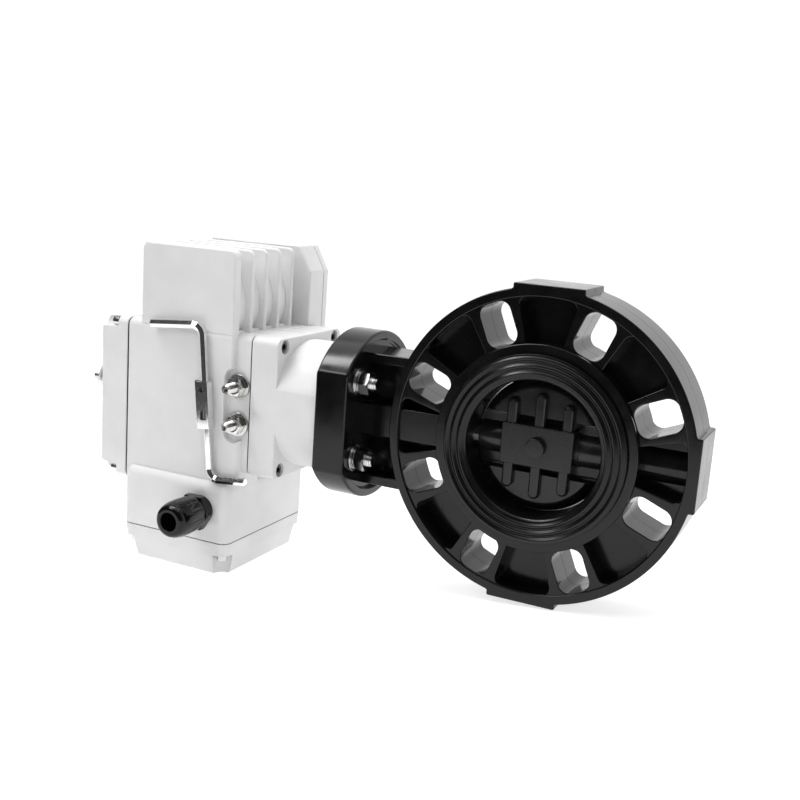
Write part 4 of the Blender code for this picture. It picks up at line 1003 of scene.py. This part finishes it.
def dress_nodes():
    """Give the frame's own pieces, which stay as they are, their detailed materials."""
    looks = {"black_pvc": PVC, "black_rubber": RUBBER, "grey_powder_coat": COAT, "stainless_steel": STEEL,
             "black_nylon": NYLON, "bronze": BRONZE, "copper": COPPER, "white_polymer": POLYMER,
             "red_plastic": RED, "clear_plastic": CLEAR}
    slots = {part["node"]: part["material_slot"] for part in frame["record"]["subparts"]}
    for name, node in frame["nodes"].items():
        for place in node.material_slots:
            place.material = looks[slots[name]]


# ---- Studio -----------------------------------------------------------------------------------

def look_at(thing, place, target, roll=0.0):
    """Put a camera or light at a place, facing a target, both in millimetres."""
    thing.location = Vector(place) * MM
    back = (Vector(place) - Vector(target)).normalized()
    turn = back.to_track_quat("Z", "Y").to_matrix()
    thing.rotation_euler = (turn @ Matrix.Rotation(math.radians(roll), 3, "Z")).to_euler()


def camera():
    lens = bpy.data.cameras.new("camera")
    lens.sensor_width = CAMERA_SENSOR
    lens.lens = CAMERA_LENS
    lens.clip_start = 0.01
    lens.clip_end = 20
    eye = bpy.data.objects.new("camera", lens)
    bpy.context.collection.objects.link(eye)
    look_at(eye, CAMERA_AT, CAMERA_TARGET, CAMERA_ROLL)
    bpy.context.scene.camera = eye


def softbox(name, place, target, size, power, glossy):
    """A rectangular area light; glossy says whether reflections show it."""
    lamp = bpy.data.lights.new(name, "AREA")
    lamp.shape = "RECTANGLE"
    lamp.size, lamp.size_y = size[0] * MM, size[1] * MM
    lamp.energy = power
    holder = bpy.data.objects.new(name, lamp)
    bpy.context.collection.objects.link(holder)
    look_at(holder, place, target)
    holder.visible_camera = False
    holder.visible_glossy = glossy


def world():
    """White behind the object and darker in front of it; the camera sees plain white."""
    sky = bpy.data.worlds.new("studio")
    bpy.context.scene.world = sky
    sky.use_nodes = True
    nodes, links = sky.node_tree.nodes, sky.node_tree.links
    place = nodes.new("ShaderNodeTexCoord")
    ahead = nodes.new("ShaderNodeVectorMath")
    ahead.operation = "DOT_PRODUCT"
    ahead.inputs[1].default_value = (0.25, 0.95, 0.15)
    links.new(place.outputs["Generated"], ahead.inputs[0])
    scale = nodes.new("ShaderNodeMapRange")
    scale.interpolation_type = "SMOOTHSTEP"
    scale.inputs["From Min"].default_value = -0.25
    scale.inputs["From Max"].default_value = 0.75
    scale.inputs["To Min"].default_value = 0.06
    scale.inputs["To Max"].default_value = 1.15
    links.new(ahead.outputs["Value"], scale.inputs["Value"])
    studio = nodes["Background"]
    studio.inputs["Color"].default_value = (1, 1, 1, 1)
    links.new(scale.outputs["Result"], studio.inputs["Strength"])
    plain = nodes.new("ShaderNodeBackground")
    plain.inputs["Color"].default_value = (1, 1, 1, 1)
    plain.inputs["Strength"].default_value = 1.05
    path = nodes.new("ShaderNodeLightPath")
    mix = nodes.new("ShaderNodeMixShader")
    links.new(path.outputs["Is Camera Ray"], mix.inputs["Fac"])
    links.new(studio.outputs["Background"], mix.inputs[1])
    links.new(plain.outputs["Background"], mix.inputs[2])
    links.new(mix.outputs["Shader"], nodes["World Output"].inputs["Surface"])


def floor():
    """Pale floor under the object, tilted to touch the rim's lowest pad and the terminal cover."""
    bm = bmesh.new()
    corners = [bm.verts.new((x, y, 0)) for x, y in rounded(rectangle((-3, -0.63), (3, 5)), 0.2)]
    bm.faces.new(corners)
    mesh = bpy.data.meshes.new("floor")
    bm.to_mesh(mesh)
    bm.free()
    ground = bpy.data.objects.new("floor", mesh)
    bpy.context.collection.objects.link(ground)
    slope = math.atan2(24.25, 264.3)
    ground.location = (-0.118, 0, -0.1405 + 0.12 * math.tan(slope) - 0.0006)
    ground.rotation_euler = (0, -slope, 0)
    material, nodes, links = new_material("pale_floor", "none")
    shader = nodes["Principled BSDF"]
    haze = noise_node(nodes, links, 6, 3, 0.5)
    links.new(mix_colour(nodes, links, haze.outputs["Fac"], (0.52, 0.52, 0.52), (0.55, 0.55, 0.55)),
              shader.inputs["Base Color"])
    shader.inputs["Roughness"].default_value = 0.9
    shader.inputs["Emission Color"].default_value = (1, 1, 1, 1)
    shader.inputs["Emission Strength"].default_value = 0.72
    mesh.materials.append(material)


def studio():
    world()
    floor()
    target = (-150, 0, 0)
    softbox("key", (-800, -850, 900), target, (500, 500), 5, True)
    softbox("front", (700, -1350, 300), target, (900, 1100), 5.5, False)
    softbox("top", (-250, -50, 1300), target, (1700, 1200), 8, True)
    softbox("strip", (-700, -250, 1200), target, (250, 800), 10, True)
    softbox("right", (1200, 300, 300), target, (700, 900), 1.2, True)
    bpy.context.scene.view_settings.view_transform = "Standard"


camera()
dress_nodes()
valve_body()
seat_liner()
disc()
flange_fasteners()
gear_housing()
output_cover()
motor_cover()
indicator_cover()
terminal_cover()
seam_cords()
cable_gland()
crank_key()
key_clip()
stop_screws()
window()
studio()
